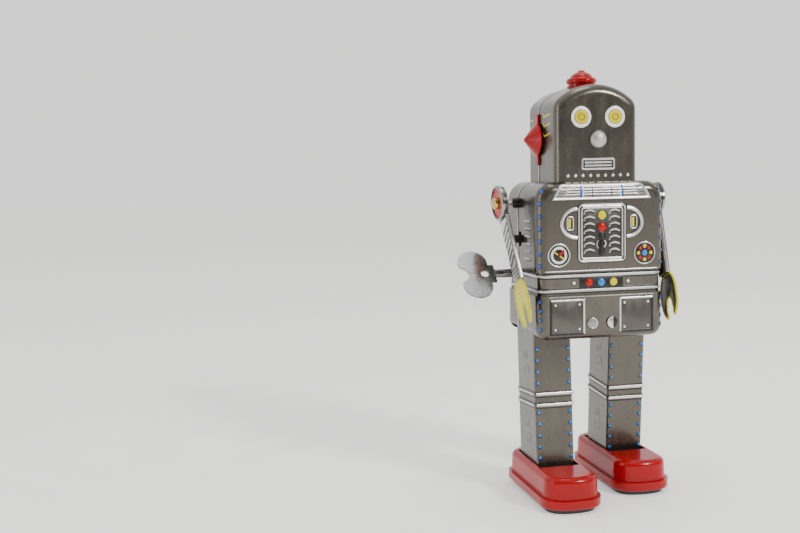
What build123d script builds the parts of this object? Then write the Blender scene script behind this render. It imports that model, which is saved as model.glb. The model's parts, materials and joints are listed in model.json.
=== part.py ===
"""Wind-up walking robot of pressed tinplate, as separate pieces.

Millimetres, +Z up. The robot faces -Y and its right side is -X. The origin lies on the
floor, on the plane of symmetry, below the middle of the torso. The legs stand in mid
stride: the right leg is forward and the left leg back.
"""
from build123d import *
from math import atan, cos, degrees, pi, radians, sin, tan
import os

# Tinplate
WALL = 0.7                      # pressed shells
SEAM_Y = 6.0                    # plane where the front and back shells meet

# Torso
TORSO_HALF_WIDTH = 37.0
TORSO_HALF_DEPTH = 27.3
TORSO_BOTTOM = 89.8
TORSO_TOP = 177.0
TORSO_SHOULDER_RADIUS = 10.0
TORSO_HIP_RADIUS = 6.5
TORSO_EDGE_RADIUS = 5.5
BELT_BOTTOM = 114.9
BELT_TOP = 127.7
BELT_DEPTH = 1.2

# Head
HEAD_HALF_WIDTH = 24.1
HEAD_FRONT = -22.0
HEAD_BACK = 25.5
HEAD_TOP = 230.5
HEAD_ARCH = 10.5                # rise of the arched top
HEAD_SHOULDER_RADIUS = 8.0
HEAD_EDGE_RADIUS = 5.5

# Crown cap, ears
CROWN_Y = 1.5
CROWN_TOP = 240.0
EAR_Z = 201.0
EAR_CONE_RADIUS = 9.15
EAR_REACH = 9.0
EAR_STRAP_LENGTH = 29.0
EAR_STRAP_WIDTH = 3.0
EAR_STRAP_THICKNESS = 1.2

# Shoulders and arms
SHOULDER_Z = 165.4
ARM_SWING = 26.0                # degrees forward at rest
ARM_LEAN = 4.2                  # degrees inward, shoulder to wrist
ARM_FACE_X = 48.4               # outer face of the arm channel at the shoulder
ARM_WIDTH = 11.5
WRIST_WIDTH = 10.0
ARM_FLANGE = 2.4
ARM_LENGTH = 47.7               # shoulder to wrist
HAND_LENGTH = 25.6
HAND_WIDTH = 20.0
CLAW_GAP = 5.4
CLAW_DEPTH = 11.5
CAP_RADIUS = 10.2
CAP_RIM = 1.5
CAP_DEPTH = 1.5
ARM_AXLE_RADIUS = 1.3

# Legs
LEG_X = 24.8
LEG_WIDTH = 22.0
LEG_DEPTH = 29.0
LEG_Y = 4.0                     # middle of the leg, ahead of its pivot
LEG_WALL = 0.6
LEG_TOP = 97.0
LEG_BOTTOM = 16.0
LEG_STRIDE = 3.7                # degrees each way from upright
LEG_RIBS = (57.4, 51.2)
RIB_HEIGHT = 2.0
RIB_PROUD = 0.8
STRAP_THICKNESS = 1.0
LEG_SHAFT_RADIUS = 1.5
LEG_CORNER_RADIUS = 1.2

# Feet
ANKLE_Z = 9.0
FOOT_WIDTH = 34.2
FOOT_TOE = 49.0                 # ankle to toe
FOOT_HEEL = 27.5                # ankle to heel
FOOT_TOP = 19.4
RIM_BOTTOM = 2.5
RIM_TOP = 7.5
RIM_PROUD = 1.5
ROLLER_RADIUS = 3.0
ROLLER_WIDTH = 15.0
ROLLER_Y = (-32.0, 16.0)        # front and rear rollers, from the ankle
ANKLE_PIN_RADIUS = 1.2
ROLLER_PIN_RADIUS = 0.8

# Clockwork motor
KEY_Z = 125.2
ARBOR_RADIUS = 1.8
PLATE_INNER_X = 9.0
PLATE_THICKNESS = 1.0
GEAR_MODULE = 0.5
GREAT_TEETH = 56
SECOND_PINION_TEETH = 12
SECOND_TEETH = 40
CRANK_PINION_TEETH = 14
CRANK_WHEEL_TEETH = 44
FLY_PINION_TEETH = 10
CRANK_DROP = 16.5               # crankshaft below the winding arbor
CRANK_THROW = 4.2
SHAFT_RADIUS = 1.2
RUNNING_FIT = 0.05              # radial clearance of a shaft in its hole

SHOULDER = (SEAM_Y, SHOULDER_Z)
ARBOR = (SEAM_Y, KEY_Z)
CRANK = (SEAM_Y, KEY_Z - CRANK_DROP)
LEG_PIVOT_AXIS = Axis((0, SEAM_Y, SHOULDER_Z), (1, 0, 0))
SIDES = (("right", -1), ("left", 1))

os.makedirs("parts", exist_ok=True)


def save(part, node):
    """Label one finished piece and write it as its own STEP file."""
    part.label = node
    export_step(part, f"parts/{node}.step")


def rod(x_start, x_end, centre, radius, mode=Mode.ADD):
    """Round bar along X between two stations, centred at (y, z)."""
    with Locations(((x_start + x_end) / 2, centre[0], centre[1])):
        Cylinder(radius, abs(x_end - x_start), rotation=(0, 90, 0), mode=mode)


def slab(x_range, y_range, z_range, mode=Mode.ADD):
    """Box between two stations on each axis."""
    spans = (x_range, y_range, z_range)
    with Locations(tuple((low + high) / 2 for low, high in spans)):
        Box(*(abs(high - low) for low, high in spans), mode=mode)


# ---------------------------------------------------------------- torso

def torso_form(inset):
    """Closed torso outline with its belt recess, every face moved in by inset."""
    half_width = TORSO_HALF_WIDTH - inset
    half_depth = TORSO_HALF_DEPTH - inset
    with BuildPart() as form:
        with BuildSketch(Plane.XZ.offset(-half_depth)) as outline:
            with Locations((0, (TORSO_TOP + TORSO_BOTTOM) / 2)):
                Rectangle(2 * half_width, TORSO_TOP - TORSO_BOTTOM - 2 * inset)
            upper = outline.vertices().group_by(Axis.Y)[-1]
            fillet(upper, TORSO_SHOULDER_RADIUS - inset)
            lower = outline.vertices().group_by(Axis.Y)[0]
            fillet(lower, TORSO_HIP_RADIUS - inset)
        extrude(amount=2 * half_depth)
        fillet(form.faces().sort_by(Axis.Y)[0].edges(), TORSO_EDGE_RADIUS - inset)
        fillet(form.faces().sort_by(Axis.Y)[-1].edges(), TORSO_EDGE_RADIUS - inset)
        with BuildSketch(Plane.XY.offset(BELT_BOTTOM - inset)):
            Rectangle(2.2 * TORSO_HALF_WIDTH, 2.2 * TORSO_HALF_DEPTH)
            RectangleRounded(
                2 * (half_width - BELT_DEPTH),
                2 * (half_depth - BELT_DEPTH),
                TORSO_EDGE_RADIUS - BELT_DEPTH - inset,
                mode=Mode.SUBTRACT,
            )
        extrude(amount=BELT_TOP - BELT_BOTTOM + 2 * inset, mode=Mode.SUBTRACT)
    return form.part


def head_form(inset):
    """Closed head outline with its arched top, every face moved in by inset."""
    half_width = HEAD_HALF_WIDTH - inset
    top = HEAD_TOP - inset
    with BuildPart() as form:
        with BuildSketch(Plane.XZ.offset(-(HEAD_BACK - inset))) as outline:
            with BuildLine():
                Polyline(
                    (-half_width, top - HEAD_ARCH),
                    (-half_width, TORSO_TOP),
                    (half_width, TORSO_TOP),
                    (half_width, top - HEAD_ARCH),
                )
                ThreePointArc(
                    (half_width, top - HEAD_ARCH), (0, top), (-half_width, top - HEAD_ARCH)
                )
            make_face()
            corners = outline.vertices().group_by(Axis.Y)[-1]
            fillet(corners, HEAD_SHOULDER_RADIUS - inset)
        extrude(amount=HEAD_BACK - HEAD_FRONT - 2 * inset)
        for face in (form.faces().sort_by(Axis.Y)[0], form.faces().sort_by(Axis.Y)[-1]):
            rim = face.edges().filter_by(lambda edge: edge.center().Z > TORSO_TOP + 1)
            fillet(rim, HEAD_EDGE_RADIUS - inset)
    return form.part


LEVER_Z = 145.0
LEVER_PIVOT = (14.0, LEVER_Z)
LEVER_PIVOT_RADIUS = 1.2
LEVER_SLOT_Y = (0.6, 4.4)
LEVER_SLOT_HEIGHT = 8.4
BUSH_NECK_RADIUS = 2.3
MOUTH_BACK = 24.0
MOUTH_FRONT = -16.2
SIDE_WALL_END = 94.2            # the side walls stop here, beside the legs

torso_outer = torso_form(0)
torso_inner = torso_form(WALL)
head_outer = head_form(0)
head_inner = head_form(WALL)

for shell, keep in (("front", Keep.TOP), ("back", Keep.BOTTOM)):
    with BuildPart() as torso_shell:
        add(torso_outer)
        add(torso_inner, mode=Mode.SUBTRACT)
        inside = TORSO_HALF_WIDTH - WALL
        slab(
            (-inside, inside),
            (MOUTH_FRONT, MOUTH_BACK),
            (TORSO_BOTTOM - 1, TORSO_BOTTOM + TORSO_HIP_RADIUS),
            mode=Mode.SUBTRACT,
        )
        slab(
            (-TORSO_HALF_WIDTH - 1, TORSO_HALF_WIDTH + 1),
            (MOUTH_FRONT, MOUTH_BACK),
            (TORSO_BOTTOM - 1, SIDE_WALL_END),
            mode=Mode.SUBTRACT,
        )
        rod(-40, 40, SHOULDER, BUSH_NECK_RADIUS, mode=Mode.SUBTRACT)
        rod(-40, -30, ARBOR, ARBOR_RADIUS + RUNNING_FIT, mode=Mode.SUBTRACT)
        rod(-40, -30, LEVER_PIVOT, LEVER_PIVOT_RADIUS, mode=Mode.SUBTRACT)
        slab(
            (-40, -30),
            LEVER_SLOT_Y,
            (LEVER_Z - LEVER_SLOT_HEIGHT / 2, LEVER_Z + LEVER_SLOT_HEIGHT / 2),
            mode=Mode.SUBTRACT,
        )
        split(bisect_by=Plane.XZ.offset(-SEAM_Y), keep=keep)
    save(torso_shell.part, f"torso_{shell}_shell")

    with BuildPart() as head_shell:
        add(head_outer)
        add(head_inner, mode=Mode.SUBTRACT)
        split(bisect_by=Plane.XZ.offset(-SEAM_Y), keep=keep)
    save(head_shell.part, f"head_{shell}_shell")

# ---------------------------------------------------------------- crown cap and ears

CROWN_BASE_RADIUS = 8.2
CROWN_NECK_RADIUS = 7.4
CROWN_DISC_RADIUS = 8.6
CROWN_DOME_RADIUS = 6.6
CROWN_BASE_Z = 228.0            # hidden below the arch of the head
CROWN_NECK_Z = 231.1
CROWN_DISC_Z = (232.2, 235.2)
CROWN_DOME_Z = 235.5

with BuildPart() as crown_cap:
    with BuildSketch(Plane.XZ.offset(-CROWN_Y)):
        with BuildLine():
            Polyline(
                (0, CROWN_BASE_Z),
                (CROWN_BASE_RADIUS, CROWN_BASE_Z),
                (CROWN_BASE_RADIUS, CROWN_NECK_Z - 0.2),
                (CROWN_NECK_RADIUS, CROWN_NECK_Z),
                (CROWN_NECK_RADIUS, CROWN_DISC_Z[0]),
                (CROWN_DISC_RADIUS - 0.5, CROWN_DISC_Z[0]),
            )
            ThreePointArc(
                (CROWN_DISC_RADIUS - 0.5, CROWN_DISC_Z[0]),
                (CROWN_DISC_RADIUS, CROWN_DISC_Z[0] + 1.4),
                (CROWN_DISC_RADIUS - 0.9, CROWN_DISC_Z[1]),
            )
            Line((CROWN_DISC_RADIUS - 0.9, CROWN_DISC_Z[1]), (CROWN_DOME_RADIUS, CROWN_DOME_Z))
            crest = (2.5, CROWN_TOP - 1.4)
            ThreePointArc((CROWN_DOME_RADIUS, CROWN_DOME_Z), (4.9, CROWN_DOME_Z + 2.0), crest)
            TangentArc((0, CROWN_TOP), crest, tangent=(1, 0))
            Line((0, CROWN_TOP), (0, CROWN_BASE_Z))
        make_face()
    revolve(axis=Axis((0, CROWN_Y, 0), (0, 0, 1)))
    add(head_outer, mode=Mode.SUBTRACT)
save(crown_cap.part, "crown_cap")

for side, sign in SIDES:
    face_x = HEAD_HALF_WIDTH
    strap_x = face_x + EAR_STRAP_THICKNESS
    with BuildPart() as ear_strap:
        with BuildSketch(Plane.YZ.offset(sign * face_x)):
            with Locations((SEAM_Y, EAR_Z)):
                SlotOverall(EAR_STRAP_LENGTH, EAR_STRAP_WIDTH, rotation=90)
        extrude(amount=sign * EAR_STRAP_THICKNESS)
    save(ear_strap.part, f"{side}_ear_strap")

    with BuildPart() as ear_cone:
        with BuildSketch(Plane.XY.offset(EAR_Z)):
            with BuildLine():
                Polyline(
                    (sign * strap_x, SEAM_Y),
                    (sign * strap_x, SEAM_Y + EAR_CONE_RADIUS),
                    (sign * (strap_x + 0.8), SEAM_Y + EAR_CONE_RADIUS),
                    (sign * (face_x + EAR_REACH - 0.9), SEAM_Y + 1.6),
                )
                TangentArc(
                    (sign * (face_x + EAR_REACH), SEAM_Y),
                    (sign * (face_x + EAR_REACH - 0.9), SEAM_Y + 1.6),
                    tangent=(0, 1),
                )
                Line((sign * (face_x + EAR_REACH), SEAM_Y), (sign * strap_x, SEAM_Y))
            make_face()
        revolve(axis=Axis((0, SEAM_Y, EAR_Z), (1, 0, 0)))
    save(ear_cone.part, f"{side}_ear_cone")

# ---------------------------------------------------------------- motor

MODULE_ADDENDUM = 0.8
MODULE_DEDENDUM = 1.0
TOOTH_SHARE = 0.42              # tooth thickness over pitch, at the pitch circle
FLANK_ANGLE = 20.0


def pitch_radius(teeth):
    """Pitch radius of a wheel of the motor's module."""
    return teeth * GEAR_MODULE / 2


def centre_from(start, distance, angle):
    """Point at a distance from start, at an angle in degrees from +Y towards +Z."""
    return (
        start[0] + distance * cos(radians(angle)),
        start[1] + distance * sin(radians(angle)),
    )


def gear_points(teeth, first_tooth_angle):
    """Corners of a straight-flanked wheel with one tooth centred on the given angle."""
    radius = pitch_radius(teeth)
    tip = radius + MODULE_ADDENDUM * GEAR_MODULE
    root = radius - MODULE_DEDENDUM * GEAR_MODULE
    half_pitch_tooth = TOOTH_SHARE * pi * GEAR_MODULE / 2
    slope = tan(radians(FLANK_ANGLE))
    half_tip = (half_pitch_tooth - (tip - radius) * slope) / tip
    half_root = (half_pitch_tooth + (radius - root) * slope) / root
    points = []
    for tooth in range(teeth):
        middle = radians(first_tooth_angle) + 2 * pi * tooth / teeth
        for reach, offset in (
            (root, -half_root),
            (tip, -half_tip),
            (tip, half_tip),
            (root, half_root),
        ):
            points.append((reach * cos(middle + offset), reach * sin(middle + offset)))
    return points


def toothed_disc(teeth, first_tooth_angle, centre, x_start, x_end):
    """Toothed wheel between two X stations, added to the piece being built."""
    with BuildSketch(Plane.YZ.offset(x_start)) as wheel:
        with Locations(centre):
            Polygon(*gear_points(teeth, first_tooth_angle), align=None)
    extrude(wheel.sketch, amount=x_end - x_start)


# The second arbor stands in front of the line from the winding arbor to the crankshaft,
# where both of its meshes have their right centre distance.
GREAT_REACH = pitch_radius(GREAT_TEETH) + pitch_radius(SECOND_PINION_TEETH)
SECOND_REACH = pitch_radius(SECOND_TEETH) + pitch_radius(CRANK_PINION_TEETH)
FLY_REACH = pitch_radius(CRANK_WHEEL_TEETH) + pitch_radius(FLY_PINION_TEETH)
second_drop = (GREAT_REACH**2 - SECOND_REACH**2 + CRANK_DROP**2) / (2 * CRANK_DROP)
second_forward = (GREAT_REACH**2 - second_drop**2) ** 0.5
SECOND = (ARBOR[0] - second_forward, ARBOR[1] - second_drop)
FLY_ANGLE = -30.0
FLY = centre_from(CRANK, FLY_REACH, FLY_ANGLE)

# Direction of each mesh, seen from the driving wheel.
great_to_second = 180 + degrees(atan(second_drop / second_forward))
second_to_crank = -degrees(atan((CRANK_DROP - second_drop) / second_forward))

GREAT_X = (-1.4, -0.4)
RATCHET_X = (0.0, 1.0)
SECOND_PINION_X = (-1.7, -0.1)
SECOND_X = (2.0, 3.0)
CRANK_PINION_X = (1.7, 3.3)
CRANK_WHEEL_X = (4.6, 5.6)
FLY_PINION_X = (4.3, 5.9)
FLY_X = (6.6, 7.8)
PLATE_OUTER_X = PLATE_INNER_X + PLATE_THICKNESS
PIVOT_RADIUS = 0.8
PILLARS = ((-10.5, 98.5), (-10.5, 142.0), (22.5, 142.0), (3.0, 94.6))
PILLAR_RADIUS = 1.6
EAR_BAR = (148.0, 156.0)        # heights of the bar that reaches both torso shells
PLATE_CORNERS = (               # (y, z) outline of a frame plate, without its bar
    (-13.5, 96.0),
    (-13.5, 146.0),
    (-1.0, 170.5),
    (13.0, 170.5),
    (25.0, 146.0),
    (25.0, 95.0),
    (3.0, 91.6),
)

for side, sign in SIDES:
    inner = sign * PLATE_INNER_X
    with BuildPart() as motor_plate:
        with BuildSketch(Plane.YZ.offset(inner)):
            with BuildLine():
                Polyline(*PLATE_CORNERS, close=True)
            make_face()
            bar_middle = (EAR_BAR[0] + EAR_BAR[1]) / 2
            with Locations((0, bar_middle)):
                Rectangle(2 * (TORSO_HALF_DEPTH - WALL), EAR_BAR[1] - EAR_BAR[0])
            with Locations(ARBOR):
                Circle(ARBOR_RADIUS + RUNNING_FIT, mode=Mode.SUBTRACT)
            with Locations(CRANK):
                Circle(SHAFT_RADIUS + RUNNING_FIT, mode=Mode.SUBTRACT)
            with Locations(SECOND, FLY):
                Circle(PIVOT_RADIUS + RUNNING_FIT, mode=Mode.SUBTRACT)
            with Locations(SHOULDER):
                Circle(LEG_SHAFT_RADIUS, mode=Mode.SUBTRACT)
        extrude(amount=sign * PLATE_THICKNESS)
    save(motor_plate.part, f"motor_{side}_plate")

with BuildPart() as motor_pillars:
    for pillar in PILLARS:
        rod(-PLATE_INNER_X, PLATE_INNER_X, pillar, PILLAR_RADIUS)
save(motor_pillars.part, "motor_pillars")

SPRING_X = (-8.0, -2.2)
SPRING_FIRST_RADIUS = 2.6
SPRING_PITCH = 1.35
SPRING_TURNS = 8
SPRING_THICKNESS = 0.4

with BuildPart() as mainspring:
    with BuildSketch(Plane.YZ.offset(SPRING_X[0])):
        for turn in range(SPRING_TURNS):
            for half, shift, start in ((0, 0, 0), (0.5, -SPRING_PITCH / 2, 180)):
                middle = SPRING_FIRST_RADIUS + (turn + half) * SPRING_PITCH
                inner = middle - SPRING_THICKNESS / 2
                outer = middle + SPRING_THICKNESS / 2
                centre = (ARBOR[0] + shift, ARBOR[1])
                way = 1 if half == 0 else -1
                with BuildLine():
                    CenterArc(centre, outer, start, 180)
                    CenterArc(centre, inner, start, 180)
                    Line((centre[0] + inner, centre[1]), (centre[0] + outer, centre[1]))
                    Line((centre[0] - inner, centre[1]), (centre[0] - outer, centre[1]))
                make_face()
    extrude(amount=SPRING_X[1] - SPRING_X[0])
save(mainspring.part, "mainspring")

KEY_BARREL_X = (-36.6, -51.5)
KEY_BARREL_RADIUS = 2.5
ARBOR_END_X = -50.0

with BuildPart() as winding_arbor:
    rod(ARBOR_END_X, PLATE_OUTER_X + 0.6, ARBOR, ARBOR_RADIUS)
save(winding_arbor.part, "winding_arbor")

RATCHET_TEETH = 12
RATCHET_TIP = 5.2
RATCHET_ROOT = 4.2

with BuildPart() as ratchet_wheel:
    with BuildSketch(Plane.YZ.offset(RATCHET_X[0])):
        ratchet_points = []
        for tooth in range(RATCHET_TEETH):
            angle = 2 * pi * tooth / RATCHET_TEETH
            for reach in (RATCHET_ROOT, RATCHET_TIP):
                ratchet_points.append((reach * cos(angle), reach * sin(angle)))
        with Locations(ARBOR):
            Polygon(*ratchet_points, align=None)
            Circle(ARBOR_RADIUS, mode=Mode.SUBTRACT)
    extrude(amount=RATCHET_X[1] - RATCHET_X[0])
save(ratchet_wheel.part, "ratchet_wheel")

CLICK_PIVOT = centre_from(ARBOR, 9.6, 60)
CLICK_PIN_RADIUS = 0.9
CLICK_EYE_RADIUS = 1.9
CLICK_CLEARANCE = 0.35          # nose above the ratchet tips
GREAT_HOLE_REACH = 9.0
GREAT_HOLE_RADIUS = 2.6
GREAT_HOLE_ANGLES = (96, 168, 240, 312)   # the click pivot stands in the fifth place

with BuildPart() as great_wheel:
    toothed_disc(GREAT_TEETH, great_to_second, ARBOR, *GREAT_X)
    rod(*GREAT_X, ARBOR, ARBOR_RADIUS + RUNNING_FIT, mode=Mode.SUBTRACT)
    for angle in GREAT_HOLE_ANGLES:
        hole = centre_from(ARBOR, GREAT_HOLE_REACH, angle)
        rod(*GREAT_X, hole, GREAT_HOLE_RADIUS, mode=Mode.SUBTRACT)
    rod(GREAT_X[1], RATCHET_X[1] + 0.2, CLICK_PIVOT, CLICK_PIN_RADIUS)
save(great_wheel.part, "great_wheel")

with BuildPart() as click:
    with BuildSketch(Plane.YZ.offset(RATCHET_X[0])):
        with Locations(CLICK_PIVOT):
            Circle(CLICK_EYE_RADIUS)
        nose = centre_from(ARBOR, RATCHET_TIP + CLICK_CLEARANCE, 100)
        heel = centre_from(ARBOR, RATCHET_TIP + 2.2, 92)
        eye_edge = CLICK_EYE_RADIUS - 0.05
        with BuildLine():
            Polyline(
                centre_from(CLICK_PIVOT, eye_edge, 240),
                nose,
                heel,
                centre_from(CLICK_PIVOT, eye_edge, 95),
                close=True,
            )
        make_face()
        with Locations(CLICK_PIVOT):
            Circle(CLICK_PIN_RADIUS + RUNNING_FIT, mode=Mode.SUBTRACT)
    extrude(amount=RATCHET_X[1] - RATCHET_X[0])
save(click.part, "click")

ARBOR_SHOULDER_X = PLATE_INNER_X - 0.3    # the thick part of an arbor ends here
SECOND_HOLE_REACH = 5.6
SECOND_HOLE_RADIUS = 2.0

with BuildPart() as second_arbor:
    rod(-PLATE_OUTER_X, PLATE_OUTER_X, SECOND, PIVOT_RADIUS)
    rod(-ARBOR_SHOULDER_X, ARBOR_SHOULDER_X, SECOND, SHAFT_RADIUS)
    pinion_phase = great_to_second + 180 + 180 / SECOND_PINION_TEETH
    toothed_disc(SECOND_PINION_TEETH, pinion_phase, SECOND, *SECOND_PINION_X)
save(second_arbor.part, "second_arbor")

with BuildPart() as second_wheel:
    toothed_disc(SECOND_TEETH, second_to_crank, SECOND, *SECOND_X)
    rod(*SECOND_X, SECOND, SHAFT_RADIUS, mode=Mode.SUBTRACT)
    for quarter in range(4):
        hole = centre_from(SECOND, SECOND_HOLE_REACH, 45 + 90 * quarter)
        rod(*SECOND_X, hole, SECOND_HOLE_RADIUS, mode=Mode.SUBTRACT)
save(second_wheel.part, "second_wheel")

DISC_X = (PLATE_OUTER_X + 0.5, PLATE_OUTER_X + 2.0)
CRANK_DISC_RADIUS = 6.2
CRANK_PIN_RADIUS = 1.1
STRAP_INNER_X = LEG_X - LEG_WIDTH / 2 + LEG_WALL
CRANK_PIN_END = STRAP_INNER_X - 0.3
CRANK_HOLE_REACH = 6.2
CRANK_HOLE_RADIUS = 2.2

with BuildPart() as crankshaft:
    rod(-DISC_X[1], DISC_X[1], CRANK, SHAFT_RADIUS)
    pinion_phase = second_to_crank + 180 + 180 / CRANK_PINION_TEETH
    toothed_disc(CRANK_PINION_TEETH, pinion_phase, CRANK, *CRANK_PINION_X)
save(crankshaft.part, "crankshaft")

with BuildPart() as crank_wheel:
    toothed_disc(CRANK_WHEEL_TEETH, FLY_ANGLE, CRANK, *CRANK_WHEEL_X)
    rod(*CRANK_WHEEL_X, CRANK, SHAFT_RADIUS, mode=Mode.SUBTRACT)
    for fifth in range(5):
        hole = centre_from(CRANK, CRANK_HOLE_REACH, 72 * fifth)
        rod(*CRANK_WHEEL_X, hole, CRANK_HOLE_RADIUS, mode=Mode.SUBTRACT)
save(crank_wheel.part, "crank_wheel")

for side, sign in SIDES:
    pin_angle = 180 if side == "right" else 0
    pin = centre_from(CRANK, CRANK_THROW, pin_angle)
    with BuildPart() as crank_disc:
        rod(sign * DISC_X[0], sign * DISC_X[1], CRANK, CRANK_DISC_RADIUS)
        rod(sign * DISC_X[0], sign * DISC_X[1], CRANK, SHAFT_RADIUS, mode=Mode.SUBTRACT)
        rod(sign * DISC_X[1], sign * CRANK_PIN_END, pin, CRANK_PIN_RADIUS)
    save(crank_disc.part, f"{side}_crank_disc")

FLY_SHAFT_RADIUS = 1.0
FLY_HUB_RADIUS = 2.2
FLY_BLADE_LENGTH = 12.0
FLY_BLADE_WIDTH = 3.4

with BuildPart() as fly_arbor:
    rod(-PLATE_OUTER_X, PLATE_OUTER_X, FLY, PIVOT_RADIUS)
    rod(-ARBOR_SHOULDER_X, ARBOR_SHOULDER_X, FLY, FLY_SHAFT_RADIUS)
    pinion_phase = FLY_ANGLE + 180 + 180 / FLY_PINION_TEETH
    toothed_disc(FLY_PINION_TEETH, pinion_phase, FLY, *FLY_PINION_X)
save(fly_arbor.part, "fly_arbor")

with BuildPart() as governor_fly:
    rod(*FLY_X, FLY, FLY_HUB_RADIUS)
    with BuildSketch(Plane.YZ.offset(FLY_X[0])) as blade:
        with Locations(FLY):
            SlotOverall(FLY_BLADE_LENGTH, FLY_BLADE_WIDTH)
    extrude(blade.sketch, amount=FLY_X[1] - FLY_X[0])
    rod(*FLY_X, FLY, FLY_SHAFT_RADIUS, mode=Mode.SUBTRACT)
save(governor_fly.part, "governor_fly")

# ---------------------------------------------------------------- winding key

KEY_LOBE_X = KEY_BARREL_X[1] - 11.4
KEY_LOBE_RADIUS = 8.6
KEY_LOBE_OFFSET = 8.2
KEY_WAIST = (14.0, 12.4)        # length along the barrel and height between the wings
KEY_NOTCH_RADIUS = 5.0
KEY_PLATE_THICKNESS = 1.0
KEY_HOLE_RADIUS = 2.3
KEY_TURN = -45.0                # the plate leans back at the top

with BuildPart() as key_plate:
    with BuildSketch(Plane.XZ.offset(-SEAM_Y - KEY_PLATE_THICKNESS / 2)) as butterfly:
        upper_lobe = (KEY_LOBE_X, KEY_Z + KEY_LOBE_OFFSET)
        lower_lobe = (KEY_LOBE_X, KEY_Z - KEY_LOBE_OFFSET)
        with Locations(upper_lobe, lower_lobe):
            Circle(KEY_LOBE_RADIUS)
        with Locations((KEY_LOBE_X + 4.7, KEY_Z)):
            Rectangle(*KEY_WAIST)
        with Locations((KEY_LOBE_X - 8.8, KEY_Z)):
            Circle(KEY_NOTCH_RADIUS, mode=Mode.SUBTRACT)
        with Locations((KEY_LOBE_X + 5.6, KEY_Z)):
            Circle(KEY_HOLE_RADIUS, mode=Mode.SUBTRACT)
    extrude(amount=KEY_PLATE_THICKNESS)
    fillet(key_plate.edges().filter_by(Axis.Y).sort_by(Axis.X)[0:4], 1.2)
    rod(KEY_BARREL_X[0], KEY_BARREL_X[1], ARBOR, KEY_BARREL_RADIUS, mode=Mode.SUBTRACT)
key_axis = Axis((0, SEAM_Y, KEY_Z), (1, 0, 0))
save(key_plate.part.rotate(key_axis, KEY_TURN), "key_plate")

with BuildPart() as key_barrel:
    rod(KEY_BARREL_X[0], KEY_BARREL_X[1], ARBOR, KEY_BARREL_RADIUS)
    rod(KEY_BARREL_X[0], ARBOR_END_X, ARBOR, ARBOR_RADIUS, mode=Mode.SUBTRACT)
save(key_barrel.part, "key_barrel")

# ---------------------------------------------------------------- stop lever

LEVER_STRIP_X = (-(TORSO_HALF_WIDTH - WALL - 0.7), -(TORSO_HALF_WIDTH - WALL - 0.1))
LEVER_TAB_END = -41.0
LEVER_TAB_HALF_HEIGHT = 2.2
LEVER_RIVET_X = (-34.4, -35.0, -TORSO_HALF_WIDTH, -TORSO_HALF_WIDTH - 1.0)
LEVER_RIVET_HEAD = 2.0

with BuildPart() as stop_lever_rivet:
    rod(LEVER_RIVET_X[1], LEVER_RIVET_X[3], LEVER_PIVOT, LEVER_PIVOT_RADIUS)
    rod(LEVER_RIVET_X[0], LEVER_RIVET_X[1], LEVER_PIVOT, LEVER_RIVET_HEAD)
    rod(LEVER_RIVET_X[2], LEVER_RIVET_X[3], LEVER_PIVOT, LEVER_RIVET_HEAD)
save(stop_lever_rivet.part, "stop_lever_rivet")

with BuildPart() as stop_lever:
    with BuildSketch(Plane.YZ.offset(LEVER_STRIP_X[0])) as strip:
        with Locations(LEVER_PIVOT):
            Circle(3.2)
        with Locations((7.6, LEVER_Z)):
            Rectangle(13.2, 2 * LEVER_TAB_HALF_HEIGHT)
        with Locations(LEVER_PIVOT):
            Circle(LEVER_PIVOT_RADIUS + RUNNING_FIT, mode=Mode.SUBTRACT)
    extrude(strip.sketch, amount=LEVER_STRIP_X[1] - LEVER_STRIP_X[0])
    slab(
        (LEVER_TAB_END, LEVER_STRIP_X[0]),
        (1.0, 4.0),
        (LEVER_Z - LEVER_TAB_HALF_HEIGHT, LEVER_Z + LEVER_TAB_HALF_HEIGHT),
    )
save(stop_lever.part, "stop_lever")

# ---------------------------------------------------------------- arms

BUSH_REACH = 40.6
BUSH_COLLAR_RADIUS = 3.1
BUSH_FLANGE_X = 34.6
BUSH_FLANGE_RADIUS = 3.4
AXLE_HEAD_X = (32.6, 33.2)
AXLE_HEAD_RADIUS = 3.0
HUB_X = (49.4, 51.7)
HUB_RADIUS = 3.4
SHOULDER_PLATE_RADIUS = 9.6
AXLE_HOLE_RADIUS = 1.7


def pose_arm(part, sign):
    """Lean an upright arm inward, then swing it forward about the shoulder axle."""
    lean_axis = Axis((sign * ARM_FACE_X, SEAM_Y, SHOULDER_Z), (0, 1, 0))
    swing_axis = Axis((0, SEAM_Y, SHOULDER_Z), (1, 0, 0))
    return part.rotate(lean_axis, sign * ARM_LEAN).rotate(swing_axis, -ARM_SWING)


def arm_outline(x_station, inset):
    """Arm seen from the side: a round shoulder and a shank that narrows to the wrist."""
    wrist_z = SHOULDER_Z - ARM_LENGTH
    top_half = ARM_WIDTH / 2 - inset
    wrist_half = WRIST_WIDTH / 2 - inset
    with BuildSketch(Plane.YZ.offset(x_station)) as outline:
        with Locations(SHOULDER):
            Circle(SHOULDER_PLATE_RADIUS - inset)
        with BuildLine():
            Polyline(
                (SEAM_Y - top_half, SHOULDER_Z),
                (SEAM_Y - wrist_half, wrist_z + inset),
                (SEAM_Y + wrist_half, wrist_z + inset),
                (SEAM_Y + top_half, SHOULDER_Z),
                close=True,
            )
        make_face()
    return outline.sketch


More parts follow.
